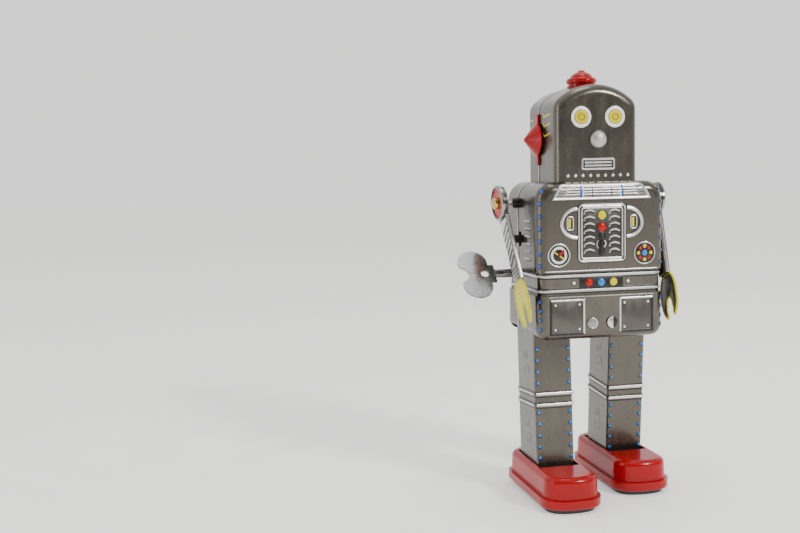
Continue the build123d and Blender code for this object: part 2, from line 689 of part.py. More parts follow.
for side, sign in SIDES:
    with BuildPart() as shoulder_bush:
        flange_end = TORSO_HALF_WIDTH - WALL - 0.3
        rod(sign * BUSH_FLANGE_X, sign * flange_end, SHOULDER, BUSH_FLANGE_RADIUS)
        rod(sign * BUSH_FLANGE_X, sign * BUSH_REACH, SHOULDER, BUSH_NECK_RADIUS)
        rod(sign * TORSO_HALF_WIDTH, sign * BUSH_REACH, SHOULDER, BUSH_COLLAR_RADIUS)
        collar_ends = shoulder_bush.edges().filter_by(GeomType.CIRCLE)
        outer_end = collar_ends.filter_by(lambda edge: abs(edge.center().X) > BUSH_REACH - 0.1)
        fillet(outer_end, 0.9)
        rod(sign * 30, sign * 45, SHOULDER, ARM_AXLE_RADIUS + RUNNING_FIT, mode=Mode.SUBTRACT)
    save(shoulder_bush.part, f"{side}_shoulder_bush")

    with BuildPart() as arm_axle:
        rod(sign * AXLE_HEAD_X[0], sign * AXLE_HEAD_X[1], SHOULDER, AXLE_HEAD_RADIUS)
        rod(sign * AXLE_HEAD_X[1], sign * HUB_X[1], SHOULDER, ARM_AXLE_RADIUS)
        rod(sign * HUB_X[0], sign * HUB_X[1], SHOULDER, HUB_RADIUS)
        hub_end = arm_axle.edges().filter_by(lambda edge: abs(edge.center().X) > HUB_X[1] - 0.1)
        fillet(hub_end, 0.7)
    save(arm_axle.part, f"{side}_arm_axle")

    washer_start = AXLE_HEAD_X[1]
    washer_end = BUSH_FLANGE_X - 0.1
    with BuildPart() as arm_spring:
        with BuildSketch(Plane.XY.offset(SHOULDER_Z)):
            with BuildLine():
                Polyline(
                    (sign * washer_start, SEAM_Y + 1.5),
                    (sign * (washer_start + 0.3), SEAM_Y + 1.5),
                    (sign * washer_end, SEAM_Y + 3.2),
                    (sign * (washer_end - 0.3), SEAM_Y + 3.2),
                    close=True,
                )
            make_face()
        revolve(axis=Axis((0, SEAM_Y, SHOULDER_Z), (1, 0, 0)))
    save(arm_spring.part, f"{side}_arm_spring")

    with BuildPart() as arm_channel:
        extrude(arm_outline(sign * ARM_FACE_X, 0), amount=-sign * ARM_FLANGE)
        inner_face = sign * (ARM_FACE_X - WALL)
        hollow = arm_outline(inner_face, WALL)
        extrude(hollow, amount=-sign * ARM_FLANGE, mode=Mode.SUBTRACT)
        rod(sign * 45, sign * 50, SHOULDER, AXLE_HOLE_RADIUS, mode=Mode.SUBTRACT)
    save(pose_arm(arm_channel.part, sign), f"{side}_arm_channel")

    cap_x = sign * ARM_FACE_X
    with BuildPart() as shoulder_cap:
        rod(cap_x, cap_x + sign * CAP_DEPTH, SHOULDER, CAP_RADIUS)
        rim_edge = shoulder_cap.edges().filter_by(
            lambda edge: abs(edge.center().X) > ARM_FACE_X + CAP_DEPTH - 0.1
        )
        fillet(rim_edge, 0.9)
        dish = CAP_RADIUS - CAP_RIM
        rod(cap_x + sign * WALL, cap_x + sign * 5, SHOULDER, dish, mode=Mode.SUBTRACT)
        rod(sign * 45, sign * 50, SHOULDER, AXLE_HOLE_RADIUS, mode=Mode.SUBTRACT)
    save(pose_arm(shoulder_cap.part, sign), f"{side}_shoulder_cap")

    wrist_z = SHOULDER_Z - ARM_LENGTH
    tip_z = wrist_z - HAND_LENGTH
    crotch_z = tip_z + CLAW_DEPTH
    with BuildPart() as hand:
        with BuildSketch(Plane.YZ.offset(sign * ARM_FACE_X)):
            with BuildLine():
                half_wrist = WRIST_WIDTH / 2
                half_hand = HAND_WIDTH / 2
                half_gap = CLAW_GAP / 2
                shoulder_z = wrist_z - 10.5
                Line((SEAM_Y, wrist_z), (SEAM_Y + half_wrist, wrist_z))
                ThreePointArc(
                    (SEAM_Y + half_wrist, wrist_z),
                    (SEAM_Y + half_hand - 1.6, wrist_z - 4.5),
                    (SEAM_Y + half_hand, shoulder_z),
                )
                ThreePointArc(
                    (SEAM_Y + half_hand, shoulder_z),
                    (SEAM_Y + half_hand - 0.9, shoulder_z - 9.5),
                    (SEAM_Y + half_gap + 2.0, tip_z),
                )
                ThreePointArc(
                    (SEAM_Y + half_gap + 2.0, tip_z),
                    (SEAM_Y + half_gap + 1.0, tip_z + 0.2),
                    (SEAM_Y + half_gap + 0.5, tip_z + 1.3),
                )
                ThreePointArc(
                    (SEAM_Y + half_gap + 0.5, tip_z + 1.3),
                    (SEAM_Y + half_gap + 0.7, tip_z + 5.0),
                    (SEAM_Y + half_gap, crotch_z - half_gap),
                )
                gap_middle = (SEAM_Y, crotch_z - half_gap)
                CenterArc(gap_middle, half_gap, 0, 90)
                mirror(about=Plane.YZ.offset(SEAM_Y))
            make_face()
        extrude(amount=-sign * WALL)
    save(pose_arm(hand.part, sign), f"{side}_hand")

# ---------------------------------------------------------------- legs

ANKLE_REACH = (SHOULDER_Z - ANKLE_Z) / cos(radians(LEG_STRIDE))
UPRIGHT_ANKLE_Z = SHOULDER_Z - ANKLE_REACH
STRAP_FOOT_Z = 62.0
STRAP_EYE_RADIUS = 5.0
STRAP_WIDTH = 19.0
SPACER_RADIUS = 2.6
BRACKET_WIDTH = 10.0
BRACKET_TOP = 38.0

with BuildPart() as leg_cross_shaft:
    head_start = STRAP_INNER_X + STRAP_THICKNESS + 0.3
    rod(-head_start, head_start, SHOULDER, LEG_SHAFT_RADIUS)
    for side, sign in SIDES:
        rod(sign * head_start, sign * (head_start + 0.9), SHOULDER, 2.4)
save(leg_cross_shaft.part, "leg_cross_shaft")

with BuildPart() as leg_shaft_spacers:
    for side, sign in SIDES:
        spacer_end = STRAP_INNER_X - 0.3
        rod(sign * PLATE_OUTER_X, sign * spacer_end, SHOULDER, SPACER_RADIUS)
    rod(-head_start, head_start, SHOULDER, LEG_SHAFT_RADIUS, mode=Mode.SUBTRACT)
save(leg_shaft_spacers.part, "leg_shaft_spacers")

for side, sign in SIDES:
    stride = sign * LEG_STRIDE
    leg_x = sign * LEG_X

    with BuildPart() as rib:
        with BuildSketch(Plane.XY):
            with Locations((leg_x, LEG_Y)):
                RectangleRounded(
                    LEG_WIDTH + 2 * RIB_PROUD,
                    LEG_DEPTH + 2 * RIB_PROUD,
                    LEG_CORNER_RADIUS + RIB_PROUD,
                )
        extrude(amount=RIB_HEIGHT)
        fillet(rib.edges().group_by(Axis.Z)[0], 0.75)
        fillet(rib.edges().group_by(Axis.Z)[-1], 0.75)

    with BuildPart() as leg_shell:
        with BuildSketch(Plane.XY.offset(LEG_BOTTOM)):
            with Locations((leg_x, LEG_Y)):
                RectangleRounded(LEG_WIDTH, LEG_DEPTH, LEG_CORNER_RADIUS)
        extrude(amount=LEG_TOP - LEG_BOTTOM)
        for rib_z in LEG_RIBS:
            with Locations((0, 0, rib_z - RIB_HEIGHT / 2)):
                add(rib.part)
        with BuildSketch(Plane.XY.offset(LEG_BOTTOM)):
            with Locations((leg_x, LEG_Y)):
                Rectangle(LEG_WIDTH - 2 * LEG_WALL, LEG_DEPTH - 2 * LEG_WALL)
        extrude(amount=LEG_TOP - LEG_BOTTOM, mode=Mode.SUBTRACT)
    save(leg_shell.part.rotate(LEG_PIVOT_AXIS, stride), f"{side}_leg_shell")

    with BuildPart() as leg_strap:
        with BuildSketch(Plane.YZ.offset(sign * STRAP_INNER_X)) as strap:
            with Locations(SHOULDER):
                Circle(STRAP_EYE_RADIUS)
            with BuildLine():
                Polyline(
                    (SEAM_Y - STRAP_EYE_RADIUS, SHOULDER_Z),
                    (SEAM_Y - STRAP_EYE_RADIUS, KEY_Z + 22),
                    (SEAM_Y - STRAP_WIDTH / 2, KEY_Z + 12),
                    (SEAM_Y - STRAP_WIDTH / 2, STRAP_FOOT_Z),
                    (SEAM_Y + STRAP_WIDTH / 2, STRAP_FOOT_Z),
                    (SEAM_Y + STRAP_WIDTH / 2, KEY_Z + 12),
                    (SEAM_Y + STRAP_EYE_RADIUS, KEY_Z + 22),
                    (SEAM_Y + STRAP_EYE_RADIUS, SHOULDER_Z),
                    close=True,
                )
            make_face()
            with Locations(SHOULDER):
                Circle(LEG_SHAFT_RADIUS + RUNNING_FIT, mode=Mode.SUBTRACT)
            with Locations(ARBOR):
                RectangleRounded(11.5, 9.0, 2.0, mode=Mode.SUBTRACT)
            with Locations(CRANK):
                slot_length = 2 * (CRANK_THROW + CRANK_PIN_RADIUS) + 1.6
                SlotOverall(
                    slot_length, 2 * CRANK_PIN_RADIUS + 0.5, rotation=90, mode=Mode.SUBTRACT
                )
        extrude(amount=sign * STRAP_THICKNESS)
    save(leg_strap.part.rotate(LEG_PIVOT_AXIS, stride), f"{side}_leg_strap")

    wall_x = LEG_WIDTH / 2 - LEG_WALL
    with BuildPart() as ankle_bracket:
        for way in (-1, 1):
            outer = leg_x + way * wall_x
            inner = outer - way * STRAP_THICKNESS
            slab(
                (inner, outer),
                (SEAM_Y - BRACKET_WIDTH / 2, SEAM_Y + BRACKET_WIDTH / 2),
                (UPRIGHT_ANKLE_Z, BRACKET_TOP),
            )
            rod(inner, outer, (SEAM_Y, UPRIGHT_ANKLE_Z), 3.2)
        slab(
            (leg_x - wall_x, leg_x + wall_x),
            (SEAM_Y - BRACKET_WIDTH / 2, SEAM_Y + BRACKET_WIDTH / 2),
            (BRACKET_TOP - STRAP_THICKNESS, BRACKET_TOP),
        )
        ankle = (SEAM_Y, UPRIGHT_ANKLE_Z)
        hole = ANKLE_PIN_RADIUS + RUNNING_FIT
        rod(leg_x - 20, leg_x + 20, ankle, hole, mode=Mode.SUBTRACT)
    save(ankle_bracket.part.rotate(LEG_PIVOT_AXIS, stride), f"{side}_ankle_bracket")

# ---------------------------------------------------------------- feet

TOE_BULGE = 4.0
HEEL_BULGE = 3.0
FOOT_CORNER = 12.0
FOOT_TAPER = 2.5
INSTEP_RADIUS = 3.2
FOOT_MOUTH_WIDTH = 23.2
FOOT_MOUTH = (-22.5, 16.5)      # front and back of the leg opening, from the ankle
SOLE_INSET = 3.0
SOLE_THICKNESS = 0.7
LUG_X = (8.2, 9.2)
ROLLER_LUG_X = (8.0, 8.8)


def foot_outline(centre_x, ankle_y, z, inset):
    """Plan of a foot, with bulged toe and heel, moved in by inset."""
    half = FOOT_WIDTH / 2 - inset
    toe = ankle_y - FOOT_TOE + inset
    heel = ankle_y + FOOT_HEEL - inset
    left, right = centre_x - half, centre_x + half
    with BuildSketch(Plane.XY.offset(z)) as outline:
        with BuildLine():
            ThreePointArc((left, toe + TOE_BULGE), (centre_x, toe), (right, toe + TOE_BULGE))
            Line((right, toe + TOE_BULGE), (right, heel - HEEL_BULGE))
            ThreePointArc((right, heel - HEEL_BULGE), (centre_x, heel), (left, heel - HEEL_BULGE))
            Line((left, heel - HEEL_BULGE), (left, toe + TOE_BULGE))
        make_face()
        fillet(outline.vertices(), FOOT_CORNER - inset)
    return outline.sketch


def foot_form(centre_x, ankle_y, inset, bottom):
    """Closed foot with its rim and rounded instep, moved in by inset."""
    with BuildPart() as form:
        upper = foot_outline(centre_x, ankle_y, bottom, RIM_PROUD + inset)
        extrude(upper, amount=FOOT_TOP - inset - bottom, taper=FOOT_TAPER)
        fillet(form.edges().group_by(Axis.Z)[-1], INSTEP_RADIUS - inset)
        rim = foot_outline(centre_x, ankle_y, bottom, inset)
        extrude(rim, amount=RIM_TOP - inset - bottom)
        if inset == 0:
            fillet(form.faces().sort_by(Axis.Z)[0].edges(), 1.2)
    return form.part


for side, sign in SIDES:
    foot_x = sign * LEG_X
    ankle_y = SEAM_Y + ANKLE_REACH * sin(radians(sign * LEG_STRIDE))

    with BuildPart() as foot_shell:
        add(foot_form(foot_x, ankle_y, 0, RIM_BOTTOM))
        add(foot_form(foot_x, ankle_y, WALL, RIM_BOTTOM - 1), mode=Mode.SUBTRACT)
        slab(
            (foot_x - FOOT_MOUTH_WIDTH / 2, foot_x + FOOT_MOUTH_WIDTH / 2),
            (ankle_y + FOOT_MOUTH[0], ankle_y + FOOT_MOUTH[1]),
            (FOOT_TOP - 3, FOOT_TOP + 1),
            mode=Mode.SUBTRACT,
        )
    save(foot_shell.part, f"{side}_foot_shell")

    with BuildPart() as sole_plate:
        flange_top = RIM_BOTTOM + SOLE_THICKNESS
        extrude(foot_outline(foot_x, ankle_y, 0, SOLE_INSET), amount=flange_top)
        flange = foot_outline(foot_x, ankle_y, RIM_BOTTOM, WALL)
        extrude(flange, amount=SOLE_THICKNESS)
        hollow = foot_outline(foot_x, ankle_y, SOLE_THICKNESS, SOLE_INSET + SOLE_THICKNESS)
        extrude(hollow, amount=flange_top, mode=Mode.SUBTRACT)
        for way in (-1, 1):
            near, far = foot_x + way * LUG_X[0], foot_x + way * LUG_X[1]
            slab((near, far), (ankle_y - 4, ankle_y + 4), (0, ANKLE_Z + 3))
            for roller_y in ROLLER_Y:
                middle = ankle_y + roller_y
                near, far = foot_x + way * ROLLER_LUG_X[0], foot_x + way * ROLLER_LUG_X[1]
                slab((near, far), (middle - 2.2, middle + 2.2), (0, ROLLER_RADIUS + 2.2))
        for roller_y in ROLLER_Y:
            middle = ankle_y + roller_y
            slot_half = ROLLER_LUG_X[0] - 0.1
            slab(
                (foot_x - slot_half, foot_x + slot_half),
                (middle - 3.4, middle + 3.4),
                (-1, SOLE_THICKNESS + 0.1),
                mode=Mode.SUBTRACT,
            )
            pin = (middle, ROLLER_RADIUS)
            rod(foot_x - 10, foot_x + 10, pin, ROLLER_PIN_RADIUS, mode=Mode.SUBTRACT)
        ankle = (ankle_y, ANKLE_Z)
        rod(foot_x - 10, foot_x + 10, ankle, ANKLE_PIN_RADIUS, mode=Mode.SUBTRACT)
    save(sole_plate.part, f"{side}_sole_plate")

    with BuildPart() as foot_pins:
        rod(foot_x - 11.2, foot_x + 11.2, (ankle_y, ANKLE_Z), ANKLE_PIN_RADIUS)
        for roller_y in ROLLER_Y:
            pin = (ankle_y + roller_y, ROLLER_RADIUS)
            rod(foot_x - 9.4, foot_x + 9.4, pin, ROLLER_PIN_RADIUS)
    save(foot_pins.part, f"{side}_foot_pins")

    for place, roller_y in zip(("front", "rear"), ROLLER_Y):
        centre = (ankle_y + roller_y, ROLLER_RADIUS)
        half = ROLLER_WIDTH / 2
        with BuildPart() as roller:
            rod(foot_x - half, foot_x + half, centre, ROLLER_RADIUS)
            bore = ROLLER_PIN_RADIUS + RUNNING_FIT
            rod(foot_x - half, foot_x + half, centre, bore, mode=Mode.SUBTRACT)
        save(roller.part, f"{side}_{place}_roller")
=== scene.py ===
"""Looks of the wind-up tin robot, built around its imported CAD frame.

Lengths are in millimetres, in the row's frame: +Z up, the robot faces -Y and its right
side is -X. MM turns them into Blender's metres. Only the materials and the studio are
written in metres.
"""

import json
from math import asin, atan2, cos, hypot, pi, radians, sin, sqrt

import bmesh
import bpy
from mathutils import Matrix, Vector
from mathutils.geometry import convex_hull_2d


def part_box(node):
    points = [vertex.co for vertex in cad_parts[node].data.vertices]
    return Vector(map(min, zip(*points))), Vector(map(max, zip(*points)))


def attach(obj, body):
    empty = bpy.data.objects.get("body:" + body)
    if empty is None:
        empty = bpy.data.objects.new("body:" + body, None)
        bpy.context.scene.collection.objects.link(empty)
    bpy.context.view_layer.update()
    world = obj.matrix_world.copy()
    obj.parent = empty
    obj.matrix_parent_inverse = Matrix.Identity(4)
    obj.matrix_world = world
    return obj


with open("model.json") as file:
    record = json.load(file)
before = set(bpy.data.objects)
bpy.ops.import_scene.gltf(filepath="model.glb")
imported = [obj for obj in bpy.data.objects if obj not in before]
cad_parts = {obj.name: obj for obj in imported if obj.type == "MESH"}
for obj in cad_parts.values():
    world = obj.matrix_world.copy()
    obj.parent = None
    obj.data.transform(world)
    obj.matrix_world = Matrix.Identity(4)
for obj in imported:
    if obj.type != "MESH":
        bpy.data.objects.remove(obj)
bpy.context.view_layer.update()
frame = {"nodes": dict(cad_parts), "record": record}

MM = 0.001
SIDES = (("right", -1), ("left", 1))


def box_mm(node):
    """Lowest and highest corners of a CAD node, in millimetres."""
    low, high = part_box(node)
    return low / MM, high / MM


# ---------------------------------------------------------------- sizes taken from the frame

torso_low, torso_high = box_mm("torso_front_shell")
head_low, head_high = box_mm("head_front_shell")

SEAM_Y = torso_high.y                   # the front and back shells meet here
TORSO_FRONT = torso_low.y
TORSO_HALF_WIDTH = torso_high.x
TORSO_HALF_DEPTH = -torso_low.y
TORSO_TOP = torso_high.z
TORSO_BOTTOM = torso_low.z
TORSO_EDGE = 5.5                        # radius of the torso's long edges
TORSO_SHOULDER = 10.0                   # radius of its upper corners
TORSO_HIP = 6.5                         # radius of its lower corners
BELT_LOW, BELT_HIGH = 114.9, 127.7      # lower and upper edges of the belt
BELT_DEPTH = 1.2                        # the belt is sunk this far into the torso
HEAD_FRONT = head_low.y
HEAD_HALF_WIDTH = head_high.x
HEAD_CROWN = 3                          # the face starts this far below the top of the head
EAR_Z = 201.0                           # middle of the ear cones
SHOULDER = Vector((0, SEAM_Y, 165.4))   # arm axles and the leg cross shaft
ARM_FACE = 48.4                         # x of an arm's outer face, at the shoulder
ARM_LEAN = radians(4.2)                 # inward, from shoulder to wrist
ARM_SWING = radians(26)                 # forward of straight down, at rest
ARM_WIDTH, WRIST_WIDTH, ARM_LENGTH = 11.5, 10.0, 47.7
CLAW_LENGTH = 25.6                      # from the wrist to the tips
HUB_END = 51.7                          # x of an arm axle's outer end
PLATE = 0.7                             # thickness of the tinplate
LEG_X, LEG_WIDTH, LEG_DEPTH, LEG_Y = 24.8, 22.0, 29.0, 4.0
LEG_STRIDE = radians(3.7)               # each leg stands this far from upright
INK = 0.12                              # printed grounds stand this far proud
SUNK = -0.05                            # every mark starts this far below the surface
SHARP = radians(35)                     # edges sharper than this stay crisp

# ---------------------------------------------------------------- places on the surfaces

FULL_TURN = 0.999                       # keeps asin in range where an edge turns side on


def plane_place(origin, right, up):
    """Maps (u, v, height) onto a flat face; height is along right x up."""
    origin, right, up = Vector(origin), Vector(right).normalized(), Vector(up).normalized()
    normal = right.cross(up)
    return lambda u, v, h=0.0: origin + right * u + up * v + normal * h


def front_place(front, edge_radius, half_width, top):
    """Maps (x, z, height) onto a front face and the rounded edges around it."""
    flat_x = half_width - edge_radius
    flat_z = top - edge_radius
    middle_y = front + edge_radius

    def place(x, z, h=0.0):
        side = max(0.0, abs(x) - flat_x) / edge_radius
        rise = max(0.0, z - flat_z) / edge_radius
        turn = min(hypot(side, rise), FULL_TURN)
        lean = asin(turn)
        reach = edge_radius + h
        if turn == 0:
            return Vector((x, front - h, z))
        toward_side = side / hypot(side, rise) * (1 if x > 0 else -1)
        toward_top = rise / hypot(side, rise)
        out = Vector((sin(lean) * toward_side, -cos(lean), sin(lean) * toward_top))
        inward = edge_radius * turn
        centre = Vector((x - inward * toward_side, middle_y, z - inward * toward_top))
        return centre + out * reach

    return place


def pose_arm(point, sign):
    """Upright arm point to its rest pose: leaned inward, then swung forward."""
    pivot = Vector((sign * ARM_FACE, SEAM_Y, SHOULDER.z))
    leaned = Matrix.Rotation(sign * ARM_LEAN, 3, "Y") @ (point - pivot) + pivot
    return Matrix.Rotation(-ARM_SWING, 3, "X") @ (leaned - SHOULDER) + SHOULDER


def arm_place(sign, face_x=ARM_FACE):
    """Maps (toward the back, up from the shoulder, height) onto an arm's outer face."""
    return lambda u, v, h=0.0: pose_arm(
        Vector((sign * (face_x + h), SEAM_Y + u, SHOULDER.z + v)), sign
    )


def pose_leg(point, sign):
    """Upright leg point to its place in mid stride."""
    return Matrix.Rotation(sign * LEG_STRIDE, 3, "X") @ (point - SHOULDER) + SHOULDER


def leg_place(sign, face):
    """Maps (u, z, height) onto the front, back, outer or inner face of an upright leg."""
    centre = Vector((sign * LEG_X, LEG_Y, 0))
    origin, right = {
        "front": (centre + Vector((0, -LEG_DEPTH / 2, 0)), Vector((1, 0, 0))),
        "back": (centre + Vector((0, LEG_DEPTH / 2, 0)), Vector((-1, 0, 0))),
        "plus_x": (centre + Vector((LEG_WIDTH / 2, 0, 0)), Vector((0, 1, 0))),
        "minus_x": (centre + Vector((-LEG_WIDTH / 2, 0, 0)), Vector((0, -1, 0))),
    }[face]
    flat = plane_place(origin, right, (0, 0, 1))
    return lambda u, v, h=0.0: pose_leg(flat(u, v, h), sign)


torso_front = front_place(TORSO_FRONT, TORSO_EDGE, TORSO_HALF_WIDTH, TORSO_TOP)
head_front = front_place(HEAD_FRONT, TORSO_EDGE, HEAD_HALF_WIDTH, head_high.z - HEAD_CROWN)
belt_front = plane_place((0, TORSO_FRONT + BELT_DEPTH, 0), (1, 0, 0), (0, 0, 1))


def path_place(outline, lift):
    """Maps (distance along, position across, height) onto the wall standing on an outline.

    The outline runs anticlockwise. lift turns its two coordinates and the position across
    the wall into a point. The length of the outline is returned too.
    """
    corners = [Vector(p) for p in outline]
    starts = [0.0]
    for a, b in zip(corners, corners[1:]):
        starts.append(starts[-1] + (b - a).length)

    def place(along, across, h=0.0):
        index = max(i for i, start in enumerate(starts[:-1]) if start <= max(along, 0.0) + 0.001)
        way = (corners[index + 1] - corners[index]).normalized()
        here = corners[index] + way * (along - starts[index]) + Vector((way.y, -way.x)) * h
        return lift(here.x, here.y, across)

    return place, starts[-1]


# ---------------------------------------------------------------- meshes

layers = {}


def layer(body, colour):
    """The growing mesh of everything in one colour on one body."""
    return layers.setdefault((body, colour), bmesh.new())


def to_metres(point):
    return point * MM


def bridge(mesh, rings, closed=True):
    """Quads between successive rings of vertices."""
    for lower, upper in zip(rings, rings[1:]):
        count = len(lower)
        for i in range(count if closed else count - 1):
            j = (i + 1) % count
            mesh.faces.new((lower[i], lower[j], upper[j], upper[i]))


def turned(mesh, place, centre, profile, segments=32):
    """Lathe form on a surface: profile is (radius, height) from the outside in.

    A last radius of 0 closes the form with a tip.
    """
    rings = []
    for radius, height in profile:
        if radius == 0:
            break
        circle = []
        for i in range(segments):
            angle = 2 * pi * i / segments
            u = centre[0] + radius * cos(angle)
            v = centre[1] + radius * sin(angle)
            circle.append(mesh.verts.new(to_metres(place(u, v, height))))
        rings.append(circle)
    bridge(mesh, rings)
    if profile[-1][0] == 0:
        tip = mesh.verts.new(to_metres(place(*centre, profile[-1][1])))
        last = rings[-1]
        for i in range(segments):
            mesh.faces.new((last[i], last[(i + 1) % segments], tip))


def dome(mesh, place, centre, radius, height, segments=20, steps=4, foot=SUNK):
    """Spherical button or rivet head."""
    profile = [(radius, foot)]
    for i in range(steps):
        angle = pi / 2 * i / steps
        profile.append((radius * cos(angle), height * sin(angle)))
    profile.append((0, height))
    turned(mesh, place, centre, profile, segments)


def ring(mesh, place, centre, outer, inner, height, segments=40, foot=SUNK):
    """Raised flat ring with soft edges."""
    ease = min(0.35, (outer - inner) / 4)
    profile = [(outer, foot), (outer, height - ease / 2), (outer - ease, height)]
    profile += [(inner + ease, height), (inner, height - ease / 2), (inner, foot)]
    turned(mesh, place, centre, profile, segments)


def disc(mesh, place, centre, radius, height, segments=36, foot=SUNK):
    """Raised flat disc with a soft edge."""
    ease = min(0.3, radius / 4)
    profile = [(radius, foot), (radius, height - ease / 2), (radius - ease, height), (0, height)]
    turned(mesh, place, centre, profile, segments)


def resample(points, step, closed):
    """Points along a polyline no further apart than step, its corners kept."""
    ends = points + points[:1] if closed else points
    out = []
    for a, b in zip(ends, ends[1:]):
        a, b = Vector(a), Vector(b)
        pieces = max(1, int((b - a).length / step + 0.999))
        out += [a.lerp(b, k / pieces) for k in range(pieces)]
    if not closed:
        out.append(Vector(ends[-1]))
    return out


def ribbon(mesh, place, points, width, height, closed=False, step=1.5, foot=SUNK, crown=0.0):
    """Raised band of constant width along a line on a surface, with mitred corners."""
    line = resample([Vector(p) for p in points], step, closed)
    count = len(line)
    half = width / 2
    ease = min(0.25, width / 4)
    section = [(-half, foot), (-half, height - ease / 2), (-half + ease, height)]
    if crown:
        section.append((0, height + crown))
    section += [(half - ease, height), (half, height - ease / 2), (half, foot)]
    rings = []
    for i, point in enumerate(line):
        before = line[i - 1] if (i or closed) else point
        after = line[(i + 1) % count] if (i + 1 < count or closed) else point
        arriving = (point - before if before != point else after - point).normalized()
        leaving = (after - point).normalized() if after != point else arriving
        tangent = (arriving + leaving).normalized()
        side = Vector((-tangent.y, tangent.x))
        stretch = 1 / max(0.5, side.dot(Vector((-leaving.y, leaving.x))))
        rings.append([
            mesh.verts.new(to_metres(place(*(point + side * offset * stretch), h)))
            for offset, h in section
        ])
    if closed:
        rings.append(rings[0])
    bridge(mesh, rings, closed=False)
    if not closed:
        mesh.faces.new(rings[0])
        mesh.faces.new(list(reversed(rings[-1])))


def inset_outline(outline, amount):
    """Closed outline moved inward, its corners mitred; the outline runs anticlockwise."""
    moved = []
    count = len(outline)
    for i in range(count):
        before, here, after = (Vector(outline[(i + k) % count]) for k in (-1, 0, 1))
        arriving, leaving = (here - before).normalized(), (after - here).normalized()
        inward = Vector((-arriving.y, arriving.x)) + Vector((-leaving.y, leaving.x))
        inward.normalize()
        stretch = 1 / max(0.4, inward.dot(Vector((-leaving.y, leaving.x))))
        moved.append(here + inward * amount * stretch)
    return moved


def pad(mesh, place, outline, height, ease=0.15, foot=SUNK):
    """Raised flat shape with a soft edge; the outline runs anticlockwise."""
    rings = []
    for inset, h in ((0, foot), (0, height - ease / 2), (ease, height)):
        rings.append([
            mesh.verts.new(to_metres(place(*p, h))) for p in inset_outline(outline, inset)
        ])
    bridge(mesh, rings)
    mesh.faces.new(rings[-1])


def rounded_box(centre, half_width, half_height, radius, arc_steps=5):
    """Anticlockwise outline of a rectangle with rounded corners."""
    radius = max(radius, 0.01)
    outline = []
    for quarter, (x_way, y_way) in enumerate(((1, 1), (-1, 1), (-1, -1), (1, -1))):
        middle = Vector((
            centre[0] + x_way * (half_width - radius),
            centre[1] + y_way * (half_height - radius),
        ))
        for i in range(arc_steps + 1):
            angle = pi / 2 * (quarter + i / arc_steps)
            outline.append(middle + Vector((cos(angle), sin(angle))) * radius)
    return outline


def arc_points(centre, radius, start, end, steps):
    """Points along an arc, angles in degrees."""
    return [
        (centre[0] + radius * cos(radians(a)), centre[1] + radius * sin(radians(a)))
        for a in (start + (end - start) * i / steps for i in range(steps + 1))
    ]


def patch(mesh, place, v_range, half_width, height, foot=SUNK, step=0.7, columns=24):
    """Raised plate that follows a curved surface; half_width gives its edge at each v."""
    rows = max(2, int((v_range[1] - v_range[0]) / step))
    grid = []
    for i in range(rows + 1):
        v = v_range[0] + (v_range[1] - v_range[0]) * i / rows
        reach = half_width(v)
        grid.append([
            mesh.verts.new(to_metres(place(-reach + 2 * reach * k / columns, v, height)))
            for k in range(columns + 1)
        ])
    bridge(mesh, grid, closed=False)
    rim = grid[0] + [row[-1] for row in grid[1:-1]] + grid[-1][::-1]
    rim += [row[0] for row in reversed(grid[1:-1])]
    base = []
    for vertex in rim:
        base.append(mesh.verts.new(vertex.co + Vector((0, (height - foot) * MM, 0))))
    bridge(mesh, [base, rim])


# ---------------------------------------------------------------- torso front


def side_place(sign, half_width=TORSO_HALF_WIDTH):
    """Maps (sign * y, z, height) onto a side wall."""
    return plane_place((sign * half_width, 0, 0), (0, sign, 0), (0, 0, 1))


def corner_rivets():
    """Blue rivets down the rounded front edges of the torso."""
    turn = radians(49.8)                # from the front toward the side
    upper_top, upper_pitch = 172.3, 6.8
    lower_top, lower_pitch = 111.9, 5.13
    upper = [upper_top - upper_pitch * i for i in range(7)]
    lower = [lower_top - lower_pitch * i for i in range(4)]
    shoulder_z = TORSO_TOP - TORSO_SHOULDER
    for sign in (-1, 1):
        out = Vector((sign * sin(turn), -cos(turn), 0))
        middle = Vector((sign * (TORSO_HALF_WIDTH - TORSO_EDGE), TORSO_FRONT + TORSO_EDGE, 0))
        for z in upper + lower:
            rise = max(0, z - shoulder_z)
            pull = TORSO_SHOULDER - sqrt(TORSO_SHOULDER ** 2 - rise ** 2)
            origin = middle + out * TORSO_EDGE - Vector((sign * pull, 0, -z))
            place = plane_place(origin, (cos(turn), sign * sin(turn), 0), (0, 0, 1))
            # Black ring set off down and to the right: a painted shadow under each rivet.
            ring(layer("torso", "black"), place, (0.15, -0.15), 1.45, 0.9, 0.1, segments=20)
            dome(layer("torso", "blue"), place, (0, 0), 1.15, 0.55, segments=16)


